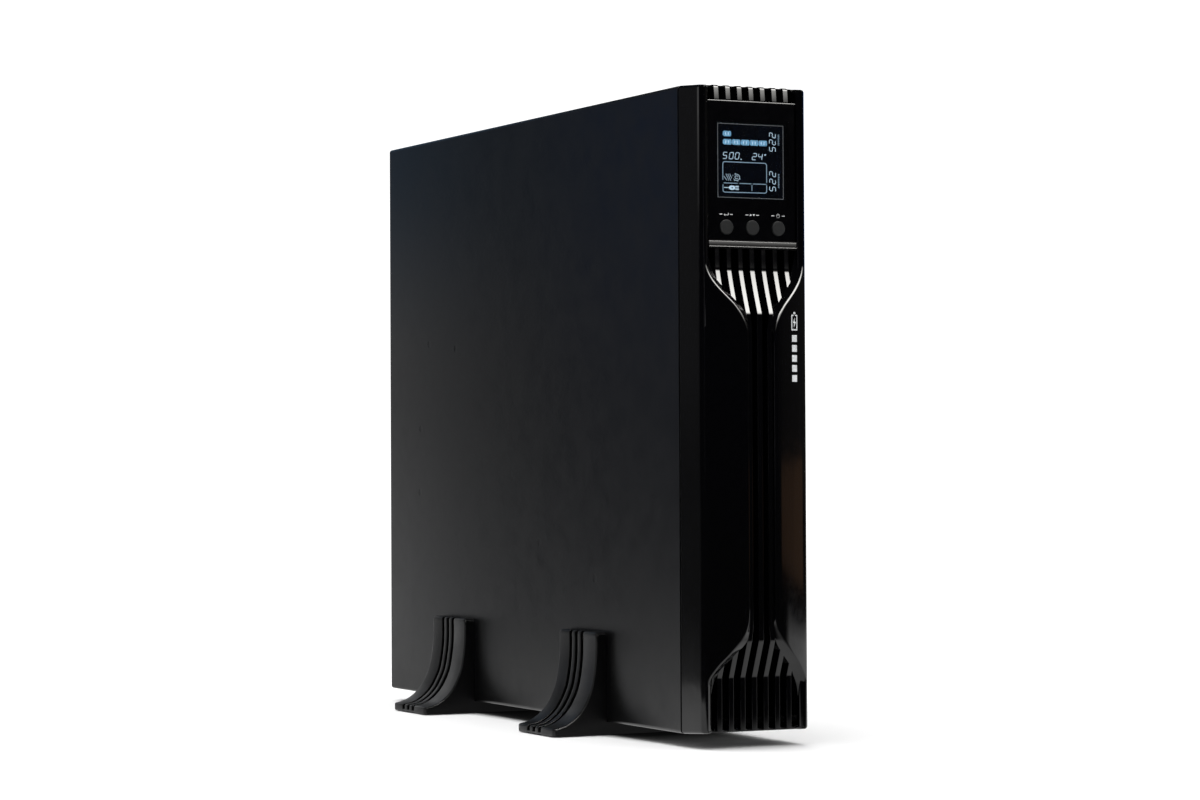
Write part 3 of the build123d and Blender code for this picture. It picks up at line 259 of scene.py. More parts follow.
finish("powder_coat", "#050506",
       "chassis_tray side_cover rear_panel slot_cover front_plate battery_door",
       rough=0.325, var=0.10, rough_var=0.04, grain=1800, grain_depth=0.00001,
       grain_strength=0.25, blotch=6, bevel=0.0006, wear="#26272a", wear_gain=1.0, dust=0.015)
finish("bezel_gloss", "#010102", "bezel_studs", rough=0.08, bevel=0.0002, **GLOSS)
finish("housing_gloss", "#010102", "display_housing", rough=0.09, bevel=0.0, **GLOSS)
finish("bezel_inner", "#040405", rough=0.45, spec=0.3, grain=1500, bevel=0.0)
finish("galvanised", "#8f9496", "divider_panel battery_tray inlet_filter",
       rough=0.38, metal=1.0, var=0.16, rough_var=0.12, grain=500, grain_depth=0.00002,
       blotch=55, rough_scale=40)
finish("zinc_plated", "#b4b7b8",
       "clinch_nuts ground_stud board_standoffs usb_port serial_port",
       rough=0.28, metal=1.0, var=0.1, rough_var=0.1, grain=800, blotch=90)
finish("extruded_aluminium", "#a9adb0", "heatsink_lower heatsink_upper",
       rough=0.34, metal=1.0, var=0.06, rough_var=0.08, grain=300, stretch=(1, 0.03, 1),
       grain_depth=0.00003, grain_strength=0.5)
finish("chromed_wire", "#a8adb0", "fan_guards",
       rough=0.16, metal=1.0, var=0.06, rough_var=0.06, bevel=0.0, blotch=80)
finish("foot_plastic", "#060607",
       "stand_foot_front_left stand_foot_front_right "
       "stand_foot_rear_left stand_foot_rear_right",
       rough=0.40, var=0.12, rough_var=0.07, grain=1900, grain_depth=0.00007,
       grain_strength=0.55, blotch=22, bevel=0.0006, wear="#303234", wear_gain=1.2, dust=0.02)
# painted shade: darker copies of the foot plastic for the flat ends and underside, and for
# inside the grooves
finish("foot_plastic_end_shade", "#040405", rough=0.34, spec=0.16, **FOOT_SHADE_LOOK)
finish("foot_plastic_groove_shade", "#020202", rough=0.75, spec=0.03, **FOOT_SHADE_LOOK)
finish("pad_rubber", "#141414", "foot_pads",
       rough=0.85, spec=0.25, var=0.2, grain=1200, grain_depth=0.0001)
finish("button_satin", "#0f1011", "button_enter button_select button_power",
       rough=0.5, spec=0.12, var=0.08, rough_var=0.05, grain=2600, grain_depth=0.00002,
       grain_strength=0.35, bevel=0.0002)
finish("outlet_moulding", "#131416",
       "outlet_bank_left outlet_bank_right power_inlet breaker_body network_ports",
       rough=0.42, var=0.12, rough_var=0.07, grain=1700, grain_depth=0.00004)
finish("fan_plastic", "#121315",
       "fan_frame_upper fan_frame_lower fan_rotor_upper fan_rotor_lower",
       rough=0.5, spec=0.45, var=0.14, rough_var=0.08, grain=1500, grain_depth=0.00004)
finish("terminal_green", "#1d6a35", "stop_terminal", rough=0.4, var=0.1, grain=1400)
finish("reset_red", "#8c1a14", "breaker_button", rough=0.35, var=0.1, grain=1400)
finish("connector_grey", "#54575a", "battery_connector external_battery_socket",
       rough=0.5, var=0.1, grain=1400)
finish("nylon_white", "#cfcfc8", "stud_sockets", rough=0.5, var=0.06, grain=1200)
finish("black_zinc", "#1c1d1f", "pan_screws cover_screws",
       rough=0.3, metal=0.85, var=0.2, rough_var=0.1, grain=1000, bevel=0.0002,
       wear="#8a8c8e", wear_gain=4)
finish("solder_resist", "#17452a", "control_board main_board comm_board",
       rough=0.35, var=0.25, grain=700, blotch=130, coat=0.3)
finish("battery_case", "#2a2c30", "battery_blocks", rough=0.5, var=0.12, grain=1200)
finish("tin_plate", "#b9b6ab", "battery_terminals", rough=0.35, metal=1.0, var=0.1)
finish("insulated_lead", "#8a1414", "power_leads", rough=0.5, var=0.15, grain=900)
finish("ribbon_cable", "#9a9c9e", "display_cable",
       rough=0.5, var=0.1, grain=600, stretch=(6, 1, 1))
finish("insulating_film", "#d9d3b8", "insulating_sheet", rough=0.3, var=0.06)
finish("epoxy_black", "#17181a", "tact_switches power_transistors", rough=0.45, var=0.1)
finish("shrink_sleeve", "#101526", "dc_capacitors", rough=0.2, var=0.1)
finish("ferrite", "#3a3a3c", "transformer", rough=0.6, var=0.2)
finish("enamelled_copper", "#9a5327", "inductors",
       rough=0.3, metal=1.0, var=0.15, grain=260, stretch=(1, 1, 8), grain_depth=0.0002,
       grain_strength=0.7)
finish("relay_case", "#1b3f7a", "relays", rough=0.3, var=0.08)


def smoked_window():
    """Mostly see-through, with a sharp, slightly smeared reflection."""
    mat, g = new_material("smoked_window")
    clear = g.node("BsdfTransparent", {0: (0.80, 0.84, 0.88, 1)}).outputs[0]
    smears = g.noise(g.coords(), scale=45.0, detail=5.0, rough=0.7)
    shine = g.node("BsdfGlossy", {"Color": (1, 1, 1, 1),
                                  "Roughness": g.remap(smears, (0.35, 0.7), (0.04, 0.12))})
    fresnel = g.node("Fresnel", {"IOR": 1.49}).outputs[0]
    g.finish(g.mix_shader(fresnel, clear, shine.outputs[0]))
    dress("display_window", mat)


def lcd_glass():
    """Near-black blue with a faint backlight glow."""
    mat, g = new_material("lcd_glass")
    clouds = g.noise(g.coords(), scale=35.0, detail=3.0, rough=0.6)
    glow = g.mix(g.remap(clouds, BREAKUP),
                 [0.0012, 0.0025, 0.0055, 1], [0.002, 0.005, 0.011, 1])
    g.finish(g.node("BsdfPrincipled", {
        "Base Color": glow, "Emission Color": glow, "Emission Strength": 0.08,
        "Roughness": 0.12, "Specular IOR Level": 0.15}).outputs[0])
    dress("lcd_module", mat)


def lit_segment(name, color, strength, speckle, scale=900.0):
    """Glowing display ink; speckle is how far its darker specks fall."""
    mat, g = new_material(name)
    specks = g.noise(g.coords(), scale=scale, detail=2.0, rough=0.5)
    bright = srgb(color)
    dim = [c * (1 - speckle) for c in bright[:3]] + [1]
    g.finish(g.node("BsdfPrincipled", {
        "Emission Color": g.mix(g.remap(specks, BREAKUP), dim, bright),
        "Emission Strength": strength, "Base Color": (0.01, 0.012, 0.015, 1),
        "Roughness": 0.4}).outputs[0])
    MATERIALS[name] = mat


smoked_window()
lcd_glass()
lit_segment("lcd_blue", "#97d6fb", strength=1.0, speckle=0.62, scale=1300.0)
lit_segment("lcd_dark", "#060c14", strength=0.2, speckle=0.1)
lit_segment("lcd_white", "#d6ebf7", strength=1.35, speckle=0.2)
lit_segment("lcd_frame", "#c4c0ba", strength=0.30, speckle=0.1)
lit_segment("lcd_box", "#b4cfe0", strength=0.75, speckle=0.1)
finish("white_print", "#d8dadb", rough=0.5, spec=0.4, var=0.04, rough_var=0.05, grain=1500,
       bevel=0.0)


# =============================================================== mesh building
class Shells:
    """Collects closed shells, in millimetres, into one mesh."""

    def __init__(self):
        self.verts, self.faces = [], []

    def add(self, verts, faces):
        start = len(self.verts)
        self.verts.extend([tuple(map(float, p)) for p in verts])
        self.faces.extend([tuple(i + start for i in face) for face in faces])

    def loft(self, rings, closed=False):
        """Skin closed rings in order; closed joins the last to the first, else caps both."""
        size, count = len(rings[0]), len(rings)
        faces = []
        for i in range(count if closed else count - 1):
            a, b = i * size, ((i + 1) % count) * size
            for j in range(size):
                k = (j + 1) % size
                faces.append((a + j, a + k, b + k, b + j))
        if not closed:
            faces.append(tuple(range(size))[::-1])
            faces.append(tuple(range((count - 1) * size, count * size)))
        self.add([p for ring in rings for p in ring], faces)

    def extrude_x(self, section, xs):
        """Loft a (y, z) section through the x stations."""
        self.loft([[(x, y, z) for y, z in section] for x in xs])

    def rounded_box(self, x_span, y_span, z_span, radius, segments):
        spans = (x_span, y_span, z_span)
        middle = [(low + high) / 2 for low, high in spans]
        half = [(high - low) / 2 for low, high in spans]
        bm = bmesh.new()
        bmesh.ops.create_cube(bm, size=2.0)
        for v in bm.verts:
            v.co = Vector([m + c * h for m, c, h in zip(middle, v.co, half)])
        bmesh.ops.bevel(bm, geom=list(bm.edges), offset=min(radius, *half),
                        segments=segments, profile=0.5, affect="EDGES")
        bm.verts.index_update()
        self.add([tuple(v.co) for v in bm.verts],
                 [tuple(v.index for v in f.verts) for f in bm.faces])
        bm.free()

    def make(self, name, material, slot, body="chassis", sharp=40.0, replaces=(),
             place=from_case):
        """Turn the shells into an object; sharp is the crease angle in degrees."""
        me = bpy.data.meshes.new(name)
        me.from_pydata([place(v) for v in self.verts], [], self.faces)
        me.validate()
        bm = bmesh.new()
        bm.from_mesh(me)
        bmesh.ops.remove_doubles(bm, verts=bm.verts, dist=1e-7)
        bmesh.ops.recalc_face_normals(bm, faces=bm.faces)
        bm.to_mesh(me)
        bm.free()
        me.shade_smooth()
        me.set_sharp_from_angle(angle=math.radians(sharp))
        ob = bpy.data.objects.new(name, me)
        bpy.context.scene.collection.objects.link(ob)
        me.materials.append(MATERIALS[material])
        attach(ob, body)
        if replaces:
            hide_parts(*replaces)
        return ob


def monotone(points):
    """Monotone cubic through (x, y) points given in order of x, held flat past the ends."""
    xs, ys = np.array(points, float).T
    step = np.diff(xs)
    slope = np.diff(ys) / step
    tangent = np.zeros(len(xs))
    tangent[0], tangent[-1] = slope[0], slope[-1]
    for i in range(1, len(xs) - 1):
        if slope[i - 1] * slope[i] > 0:
            w1, w2 = 2 * step[i] + step[i - 1], step[i] + 2 * step[i - 1]
            tangent[i] = (w1 + w2) / (w1 / slope[i - 1] + w2 / slope[i])

    def curve(x):
        x = min(max(x, xs[0]), xs[-1])
        i = min(max(int(np.searchsorted(xs, x)) - 1, 0), len(step) - 1)
        s = (x - xs[i]) / step[i]
        return ((1 + 2 * s) * (1 - s) ** 2 * ys[i] + s * (1 - s) ** 2 * step[i] * tangent[i]
                + s * s * (3 - 2 * s) * ys[i + 1] + s * s * (s - 1) * step[i] * tangent[i + 1])
    return curve


# =============================================================== front bezel
# An outer frame, two curved wings that narrow to a waist, and seven ribs. The ribs stand on
# the FIELD plane at the top and the bottom and come forward to WAIST between.
HEIGHT = 440.0
FIELD = -24.3
WAIST = -34.2
BACK = -11.0                         # rear of the wings and ribs
LEAN_LOW, LEAN_TOP = 284.0, 313.5    # ribs lean into the waist between these heights
FOOT_LOW, FOOT_TOP = 38.6, 63.4      # and back out of it between these
RIB_WIDTH, RIB_PITCH = 3.75, 8.97
RIB_BOTTOM, RIB_END = 2.1, 331.0     # ribs below the display
TOP_RIB_BOTTOM, TOP_RIB_END = 428.6, 439.1
TOP_TURN = 1.7                       # radius of the turn onto the top wall
ARC_RADIUS, ARC_FRONT = 80.6, -37.2  # the wings' face is a cylinder about a vertical axis
OPENING = 34.0                       # half width inside the frame's rails


def arc(x):
    return ARC_FRONT + (ARC_RADIUS - math.sqrt(ARC_RADIUS ** 2 - x * x))


def rounded_ramp(z, z0, z1, y0, y1, radius=0.9, samples=8):
    """Ramp between two flats; averaging over +-radius rounds its corners."""
    slope = (y1 - y0) / (z1 - z0)
    total = 0.0
    for i in range(samples):
        at = z + (i + 0.5 - samples / 2) / samples * 2 * radius
        total += y0 if at <= z0 else (y1 if at >= z1 else y0 + slope * (at - z0))
    return total / samples


def rib_front(z):
    """Front line of the ribs, from the foot through the waist to above the display."""
    if z > 429.0:
        above = z - 429.0
        return FIELD + 0.02 + 0.078 * above + 0.0036 * above * above
    if z <= 200:
        return rounded_ramp(z, FOOT_LOW, FOOT_TOP, FIELD, WAIST)
    if z >= LEAN_TOP:
        return FIELD + 0.045 * (z - LEAN_TOP) * smooth(LEAN_TOP, 317.0, z)
    t = min(max((LEAN_TOP - z) / (LEAN_TOP - LEAN_LOW), 0.0), 1.0)
    hollow = 0.55 * math.sin(math.pi * t) * (0.6 + 0.4 * (1 - t))
    return rounded_ramp(z, LEAN_LOW, LEAN_TOP, WAIST, FIELD) + hollow


def top_rib_front(z):
    """Ribs above the display turn over into the top wall."""
    y = rib_front(z)
    rise = z - (TOP_RIB_END - TOP_TURN)
    if rise > 0:
        y += TOP_TURN - math.sqrt(max(0.0, TOP_TURN ** 2 - rise ** 2))
    return y


def by_height(lower, waist, upper):
    """Half width against height: a curve at each end, constant along the waist."""
    low, up = monotone(lower), monotone(upper)
    return lambda z: up(z) if z > 266 else (low(z) if z < 84 else waist)


# (height, half width) where the wing's face ends and its inward wall begins
wing_edge = by_height(
    lower=[(24.0, 38.9), (29.0, 38.6), (36.0, 37.3), (45.5, 31.9), (55.0, 23.5), (64.0, 16.2),
           (71.0, 12.0), (77.0, 10.3), (84.0, 9.9)],
    waist=9.9,
    upper=[(266.0, 9.9), (272.0, 10.2), (277.5, 11.6), (283.0, 14.4), (290.0, 19.0),
           (295.6, 24.2), (301.5, 29.6), (307.5, 33.9), (313.5, 36.6), (318.5, 37.8),
           (325.0, 38.4), (333.0, 38.9)])
# (height, half width) where that wall meets the ribs
wall_foot = by_height(
    lower=[(22.0, 34.0), (27.0, 33.8), (33.0, 32.6), (39.5, 29.9), (44.5, 27.0), (53.5, 18.9),
           (61.5, 12.2), (67.5, 9.7), (74.0, 9.1), (84.0, 9.0)],
    waist=9.0,
    upper=[(266.0, 9.0), (274.0, 9.1), (280.0, 9.6), (285.0, 11.4), (290.0, 14.6),
           (296.0, 19.6), (302.0, 24.8), (308.0, 29.4), (313.5, 32.0), (318.5, 33.3),
           (323.0, 33.8), (333.0, 34.0)])

# Frame section, swept round the rectangle: half width, inset of the ends, depth, corner radius
FRAME_RINGS = [
    (41.9, 2.1, -1.25, 1.2), (43.35, 0.65, -1.25, 2.0), (43.75, 0.25, -1.35, 2.1),
    (43.9, 0.08, -1.65, 2.2), (43.2, 0.42, -7.0, 2.2), (42.4, 0.85, -14.0, 2.2),
    (41.35, 1.38, -22.6, 2.2), (41.15, 1.5, -23.9, 2.2), (41.0, 1.56, -24.45, 2.2),
    (40.72, 1.62, -24.95, 2.1), (39.3, 1.78, -26.75, 2.0), (38.95, 1.82, -27.12, 2.0),
    (38.6, 1.86, -27.33, 1.9), (38.15, 1.9, -27.4, 1.9), (37.85, 1.95, -27.4, 1.8),
    (37.5, 2.0, -27.34, 1.7), (37.15, 2.05, -27.22, 1.6), (36.8, 2.1, -27.05, 1.5),
    (34.95, 2.35, -26.1, 1.3), (34.5, 2.45, -25.7, 1.2), (34.2, 2.6, -25.0, 1.1),
    (34.05, 2.8, -24.2, 1.0), (34.0, 3.1, -22.0, 1.0), (34.0, 3.4, -11.0, 1.0),
    (37.0, 3.8, -9.0, 1.0), (41.0, 3.0, -6.0, 1.2)]
# stations along the top and bottom walls, as fractions of the straight half
END_FRACTIONS = [1, 0.99, 0.975, 0.96, 0.945, 0.93, 0.915, 0.90, 0.885, 0.87, 0.85, 0.82,
                 0.76, 0.66, 0.5, 0.33, 0.16]


def end_limit(distance, flat):
    """How far forward an end wall reaches: flat in the middle, further near the rails."""
    if distance >= 37.4:
        return -28.0
    return flat + (-27.6 - flat) * smooth(33.6, 37.4, distance)


def corner(cx, cz, radius, start):
    """Inner points of a quarter turn, clockwise seen from the front, from start degrees."""
    angles = [math.radians(start - 90 * i / 8) for i in range(1, 8)]
    return [(cx + radius * math.cos(a), cz + radius * math.sin(a)) for a in angles]


def frame_ring(half_width, inset, y, radius):
    def end(points, flat):
        return [(x, max(y, end_limit(abs(x), flat)), z) for x, z in points]

    straight = half_width - radius
    top, bottom = HEIGHT - inset, inset
    high, low = top - radius, bottom + radius
    across = ([-straight * t for t in END_FRACTIONS] + [0.0]
              + [straight * t for t in END_FRACTIONS[::-1]])
    side = np.linspace(high, low, 23)
    upper, lower = -21.9, -20.2
    return (end([(x, top) for x in across], upper)
            + end(corner(straight, high, radius, 90), upper)
            + [(half_width, y, z) for z in side]
            + end(corner(straight, low, radius, 0), lower)
            + end([(x, bottom) for x in across[::-1]], lower)
            + end(corner(-straight, low, radius, -90), lower)
            + [(-half_width, y, z) for z in side[::-1]]
            + end(corner(-straight, high, radius, 180), upper))


def wing_section(z, side):
    """Closed section of a wing: curved face, rounded shoulder, wall down to the ribs."""
    edge, foot = wing_edge(z), wall_foot(z)
    # the ends sink into the rail so that the wall runs out cleanly
    sink = 0.25 * (smooth(322.0, 332.0, z) + smooth(31.0, 24.5, z))
    shoulder = 1.25 - 0.45 * (smooth(276.0, 262.0, z) * smooth(70.0, 84.0, z))
    foot_y = rib_front(z) + 0.05 + sink
    face_end = min(edge + shoulder, 38.7)
    points = [(39.0, BACK), (39.0, arc(38.9) + 0.35)]
    points += [(x, arc(x) + sink) for x in np.linspace(38.75, face_end, 15)]

    start = np.array([face_end, arc(face_end) + sink])
    peak = np.array([edge, arc(min(edge, 38.9)) + sink + 0.15])
    wall_end = np.array([foot, foot_y])
    wall = wall_end - peak
    end = peak + wall * min(0.45, shoulder / np.hypot(*wall))
    for t in (0.14, 0.28, 0.42, 0.56, 0.70, 0.85, 1.0):
        points.append((1 - t) ** 2 * start + 2 * t * (1 - t) * peak + t * t * end)
    for t in (0.33, 0.66, 0.9):
        points.append(end + (wall_end - end) * t)

    lip = 0.22 + 0.75 * smooth(298.0, 305.0, z) * smooth(327.0, 319.0, z)
    for t in (0.1, 0.35, 0.6, 0.85):
        turn = t * math.pi / 2
        points.append((foot - lip * math.sin(turn),
                       foot_y + lip * (1.0 - math.cos(turn)) * 1.2))
    points += [(foot - lip, foot_y + lip * 1.25 + 0.3), (foot - lip, BACK)]
    return [(side * x, y, z) for x, y in points]


# Heights where every rib that passes them has a station
RIB_MARKS = (
    37.2, 37.9, 38.4, 39.0, 39.6, 40.4, 61.6, 62.4, 63.0, 63.6, 64.4, 66.0, 69.0, 72.0, 75.0,
    78.0, 81.0, 84.0, 266.0, 269.0, 271.0, 274.0, 277.0, 280.0, 282.6, 283.4, 284.0, 284.8,
    285.6, 287.0, 290.0, 293.0, 296.0, 299.0, 302.0, 305.0, 308.0, 310.5, 312.2, 312.8, 313.5,
    314.2, 315.0, 316.0, 317.0)
# Rounded front edge of a rib, in edge radii: inset from the side, depth behind the front
RIB_EDGE = [(0.0, 1.0), (0.08, 0.6), (0.3, 0.27), (0.62, 0.08)]


def rib_heights(z0, z1):
    """Stations at the marks, and no more than 4 mm apart."""
    marks = sorted(set([z0, z1] + [z for z in RIB_MARKS if z0 < z < z1]))
    heights = []
    for a, b in zip(marks[:-1], marks[1:]):
        steps = max(1, int(math.ceil((b - a) / 4.0)))
        heights += list(np.linspace(a, b, steps + 1)[:-1])
    return heights + [z1]


def add_rib(bezel, sides, heights, front=rib_front, radius=0.5):
    """One rib; sides(z) gives its left and right x, front(z) its front line."""
    edge = [(radius * inset, radius * depth) for inset, depth in RIB_EDGE]
    edge += [(radius, 0.015), (radius * 1.4, 0.0)]
    rings = []
    for z in heights:
        y = front(z)
        left, right = sides(z)
        rings.append([(left, BACK, z)]
                     + [(left + inset, y + depth, z) for inset, depth in edge]
                     + [(right - inset, y + depth, z) for inset, depth in edge[::-1]]
                     + [(right, BACK, z)])
    bezel.loft(rings)


def second_rib(z):
    """Near and far half widths of the ribs beside the middle one, drawn in at the waist."""
    near, far = 5.95, 9.6
    near += (RIB_PITCH - RIB_WIDTH / 2 - near) * (smooth(272.0, 285.0, z)
                                                  + smooth(75.0, 62.0, z))
    far += (RIB_PITCH + RIB_WIDTH / 2 - far) * (smooth(277.0, 286.0, z)
                                                + smooth(72.0, 62.0, z))
    return near, far


def add_ribs(bezel):
    turn_start = TOP_RIB_END - TOP_TURN
    top_heights = list(np.linspace(TOP_RIB_BOTTOM, turn_start, 12))
    top_heights += [turn_start + TOP_TURN * math.sin(math.pi / 2 * i / 9)
                    for i in range(1, 10)]
    full = rib_heights(RIB_BOTTOM, RIB_END)
    # outer ribs stop at the walls: rib number -> top of the lower part, foot of the upper
    tips = {2: (57.0, 292.0), 3: (48.0, 301.0)}
    for k in range(-3, 4):
        left = k * RIB_PITCH - RIB_WIDTH / 2
        right = k * RIB_PITCH + RIB_WIDTH / 2
        add_rib(bezel, lambda z: (left - 0.1, right + 0.1), top_heights,
                front=top_rib_front, radius=0.45)
        if k == 0:
            add_rib(bezel, lambda z: (-2.0, 2.0), full)
        elif k == 1:
            add_rib(bezel, second_rib, full)
        elif k == -1:
            add_rib(bezel, lambda z: tuple(-x for x in second_rib(z)[::-1]), full)
        else:
            low_tip, high_tip = tips[abs(k)]
            add_rib(bezel, lambda z: (left, right), rib_heights(high_tip, RIB_END))
            add_rib(bezel, lambda z: (left, right), rib_heights(RIB_BOTTOM, low_tip))


def lip_arc(cy, cz, radius, start, end):
    """(y, z) points on an arc; 0 degrees faces forward, 90 up."""
    angles = [math.radians(start + (end - start) * i / 5) for i in range(6)]
    return [(cy - radius * math.cos(a), cz + radius * math.sin(a)) for a in angles]


def add_display_lips(bezel):
    stations = (-33.95, -33.9, 33.9, 33.95)
    # below the display: a low ridge with a leaning face above it
    bezel.extrude_x([(-18.0, 328.3)] + lip_arc(-25.5, 328.75, 0.42, -90, 0)
                    + lip_arc(-25.58, 329.45, 0.34, 0, 84) + [(-25.48, 329.82)]
                    + lip_arc(-24.97, 333.0, 0.34, 3, 90) + [(-18.0, 333.35)], stations)
    # above it: wraps over the top edge of the display housing
    bezel.extrude_x([(-18.0, 428.56), (-24.53, 428.56), (-24.53, 427.72), (-24.60, 427.62),
                     (-24.68, 427.62), (-24.74, 427.66), (-24.77, 427.74), (-24.65, 428.52),
                     (-24.62, 428.60), (-24.55, 428.65), (-18.0, 428.66)], stations)


def mirrored(near, far):
    """The x spans of a left and right pair of blocks."""
    return ((-far, -near), (near, far))


def front_bezel():
    bezel = Shells()
    bezel.loft([frame_ring(*ring) for ring in FRAME_RINGS], closed=True)
    heights = (list(np.arange(24.5, 88.0, 0.85)) + list(np.arange(90.0, 258.0, 8.0))
               + list(np.arange(260.0, 334.0, 0.85)))
    for side in (1, -1):
        bezel.loft([wing_section(z, side) for z in heights])
    add_ribs(bezel)
    add_display_lips(bezel)
    for x_span in mirrored(33.7, 39.6):  # blocks in the bottom corners
        bezel.rounded_box(x_span, (-25.2, -14.0), (1.75, 4.2), radius=0.8, segments=3)
    bezel.make("front_bezel_shell", "bezel_gloss", "bezel_gloss", body="bezel_body",
               sharp=32.0, replaces=("front_bezel",))


def cross_bars():
    """Dark bars across behind the ribs, and thin dark bands round the bezel's rear edge: the
    bands are painted shade filling the seam between the case and the bezel.
    """
    bars = Shells()
    spans = [(z, z + 4.0) for z in (6.0, 64.0, 120.0, 175.0, 230.0, 284.0, 326.0)]
    for z_span in spans + [(431.5, 438.0)]:
        bars.rounded_box((-36.0, 36.0), (-14.5, -10.7), z_span, radius=0.5, segments=2)
    # painted shade: dark matte bands in the seam between the case front and the bezel's rear
    # edge
    seam_shade_strips = [(x_span, (1.2, 438.8)) for x_span in mirrored(42.2, 43.25)]
    seam_shade_strips += [((-42.6, 42.6), z_span) for z_span in ((0.75, 1.6), (438.4, 439.25))]
    for x_span, z_span in seam_shade_strips:
        bars.rounded_box(x_span, (-2.4, -0.12), z_span, radius=0.12, segments=1)
    bars.make("bezel_cross_bars_and_seam_shade", "bezel_inner", "bezel_gloss", body="bezel_body")


front_bezel()
cross_bars()


# =============================================================== printed marks
def add_plate(shells, outline, y, thick=0.05):
    """Flat print from an (x, z) outline, standing thick proud of y, a number or y(x, z)."""
    size = len(outline)
    depths = [y(*p) if callable(y) else y for p in outline]
    verts = [(x, depth - thick, z) for (x, z), depth in zip(outline, depths)]
    verts += [(x, depth + 0.05, z) for (x, z), depth in zip(outline, depths)]
    faces = [tuple(range(size)), tuple(range(2 * size - 1, size - 1, -1))]
    for i in range(size):
        j = (i + 1) % size
        faces.append((i, j, size + j, size + i))
    shells.add(verts, faces)


def rectangle(x0, x1, z0, z1):
    return [(x0, z0), (x1, z0), (x1, z1), (x0, z1)]


def add_stroke(shells, points, width, y, thick=0.05):
    """Polyline of overlapping bars, each a quarter width longer at both ends."""
    for (ax, az), (bx, bz) in zip(points[:-1], points[1:]):
        dx, dz = bx - ax, bz - az
        length = math.hypot(dx, dz)
        nx, nz = -dz / length * width / 2, dx / length * width / 2
        ex, ez = dx / length * width / 4, dz / length * width / 4
        add_plate(shells, [(ax + nx - ex, az + nz - ez), (bx + nx + ex, bz + nz + ez),
                           (bx - nx + ex, bz - nz + ez), (ax - nx - ex, az - nz - ez)],
                  y, thick)


def ellipse(cx, cz, radius_x, radius_z, start, end, steps):
    """(x, z) points from start to end degrees; positive turns from +x towards up."""
    angles = [math.radians(start + (end - start) * i / steps) for i in range(steps + 1)]
    return [(cx + radius_x * math.cos(a), cz + radius_z * math.sin(a)) for a in angles]


def bezel_mark():
    """On the right wing: a battery outline with a bolt, over five plain bars."""
    mark = Shells()
    print_on = dict(y=lambda x, z: arc(x) - 0.01, thick=0.04)
    add_stroke(mark, [(25.6, 273.6), (30.6, 273.6), (30.6, 283.4), (25.6, 283.4),
                      (25.6, 273.6)], width=0.9, **print_on)
    add_plate(mark, rectangle(27.1, 29.1, 284.2, 285.6), **print_on)
    add_plate(mark, [(28.7, 281.8), (26.5, 278.1), (27.9, 278.1), (27.4, 275.0),
                     (29.8, 279.0), (28.3, 279.0)], **print_on)
    for i in range(5):
        z = 265.4 - i * 6.8
        add_plate(mark, rectangle(25.7, 30.5, z, z + 4.6), **print_on)
    mark.make("bezel_mark", "white_print", "bezel_gloss", body="bezel_body", sharp=20)


def button_symbols():
    """Return arrow, up and down triangles and a power sign, each between two dashes."""
    symbols = Shells()
    y = -24.5  # face of the display housing
    z = 351.3
    spacing = 20.2
    add_stroke(symbols, [(-18.4, z + 1.0), (-18.4, z - 0.3), (-21.2, z - 0.3)], 0.32, y)
    add_plate(symbols, [(-22.1, z - 0.3), (-21.0, z + 0.45), (-21.0, z - 1.05)], y)
    add_plate(symbols, [(-2.1, z - 0.4), (-1.2, z + 0.9), (-0.3, z - 0.4)], y)
    add_plate(symbols, [(0.3, z + 0.7), (2.1, z + 0.7), (1.2, z - 0.6)], y)
    add_stroke(symbols, ellipse(spacing, z, 1.15, 1.15, 125, 415, 22), 0.3, y)
    add_stroke(symbols, [(spacing, z + 1.6), (spacing, z + 0.2)], 0.3, y)
    for middle in (-spacing, 0.0, spacing):
        for side in (-1, 1):
            x = middle + side * 4.1
            add_plate(symbols, rectangle(x - 1.1, x + 1.1, z - 0.15, z + 0.3), y)
    symbols.make("button_symbols", "white_print", "bezel_gloss", sharp=20)


bezel_mark()
button_symbols()

# =============================================================== lcd picture
PICTURE_Y = -22.43
INK = 0.03  # how far the picture stands proud
FRAME_LEFT, FRAME_RIGHT, FRAME_LOW, FRAME_TOP = -25.25, 25.65, 363.1, 413.1

# Seven segments: a top, b and c right, d bottom, e and f left, g middle
DIGIT_SEGMENTS = {"0": "abcdef", "2": "abged", "4": "fgbc", "5": "afgcd"}
# ends of each segment as fractions of the width, and of the height downwards
SEGMENT_ENDS = {
    "a": ((0.12, 0), (0.88, 0)), "g": ((0.12, 0.5), (0.88, 0.5)), "d": ((0.12, 1), (0.88, 1)),
    "f": ((0, 0.07), (0, 0.44)), "b": ((1, 0.07), (1, 0.44)),
    "e": ((0, 0.56), (0, 0.93)), "c": ((1, 0.56), (1, 0.93))}


def ink_line(shells, points, width):
    add_stroke(shells, points, width, PICTURE_Y, INK)


def ink_patch(shells, outline):
    add_plate(shells, outline, PICTURE_Y, INK)


def top_patch(shells, outline):
    """A thinner patch lying on the others."""
    add_plate(shells, outline, PICTURE_Y - INK, 0.02)


def add_level_bar(bars, cores, left, right, low, top, count, chamfer_x):
    """A row of chamfered blocks, each with two bright cores."""
    pitch = (right - left) / count
    chamfer_z = (top - low) * 0.22
    core_half, core_inset = 0.334, 0.863
    for i in range(count):
        x0 = left + (i + 0.02) * pitch
        x1 = left + (i + 0.98) * pitch
        near, far = x0 + chamfer_x, x1 - chamfer_x * 0.4
        ink_patch(bars, [(near, top), (far, top), (x1, top - chamfer_z),
                         (x1, low + chamfer_z), (far, low), (near, low),
                         (x0, low + chamfer_z), (x0, top - chamfer_z)])
        for fraction in (0.34, 0.66):
            x = x0 + (x1 - x0) * fraction
            top_patch(cores, [(x - core_half, top - core_inset),
                              (x + core_half, top - core_inset),
                              (x + core_half, low + core_inset),
                              (x - core_half, low + core_inset)])


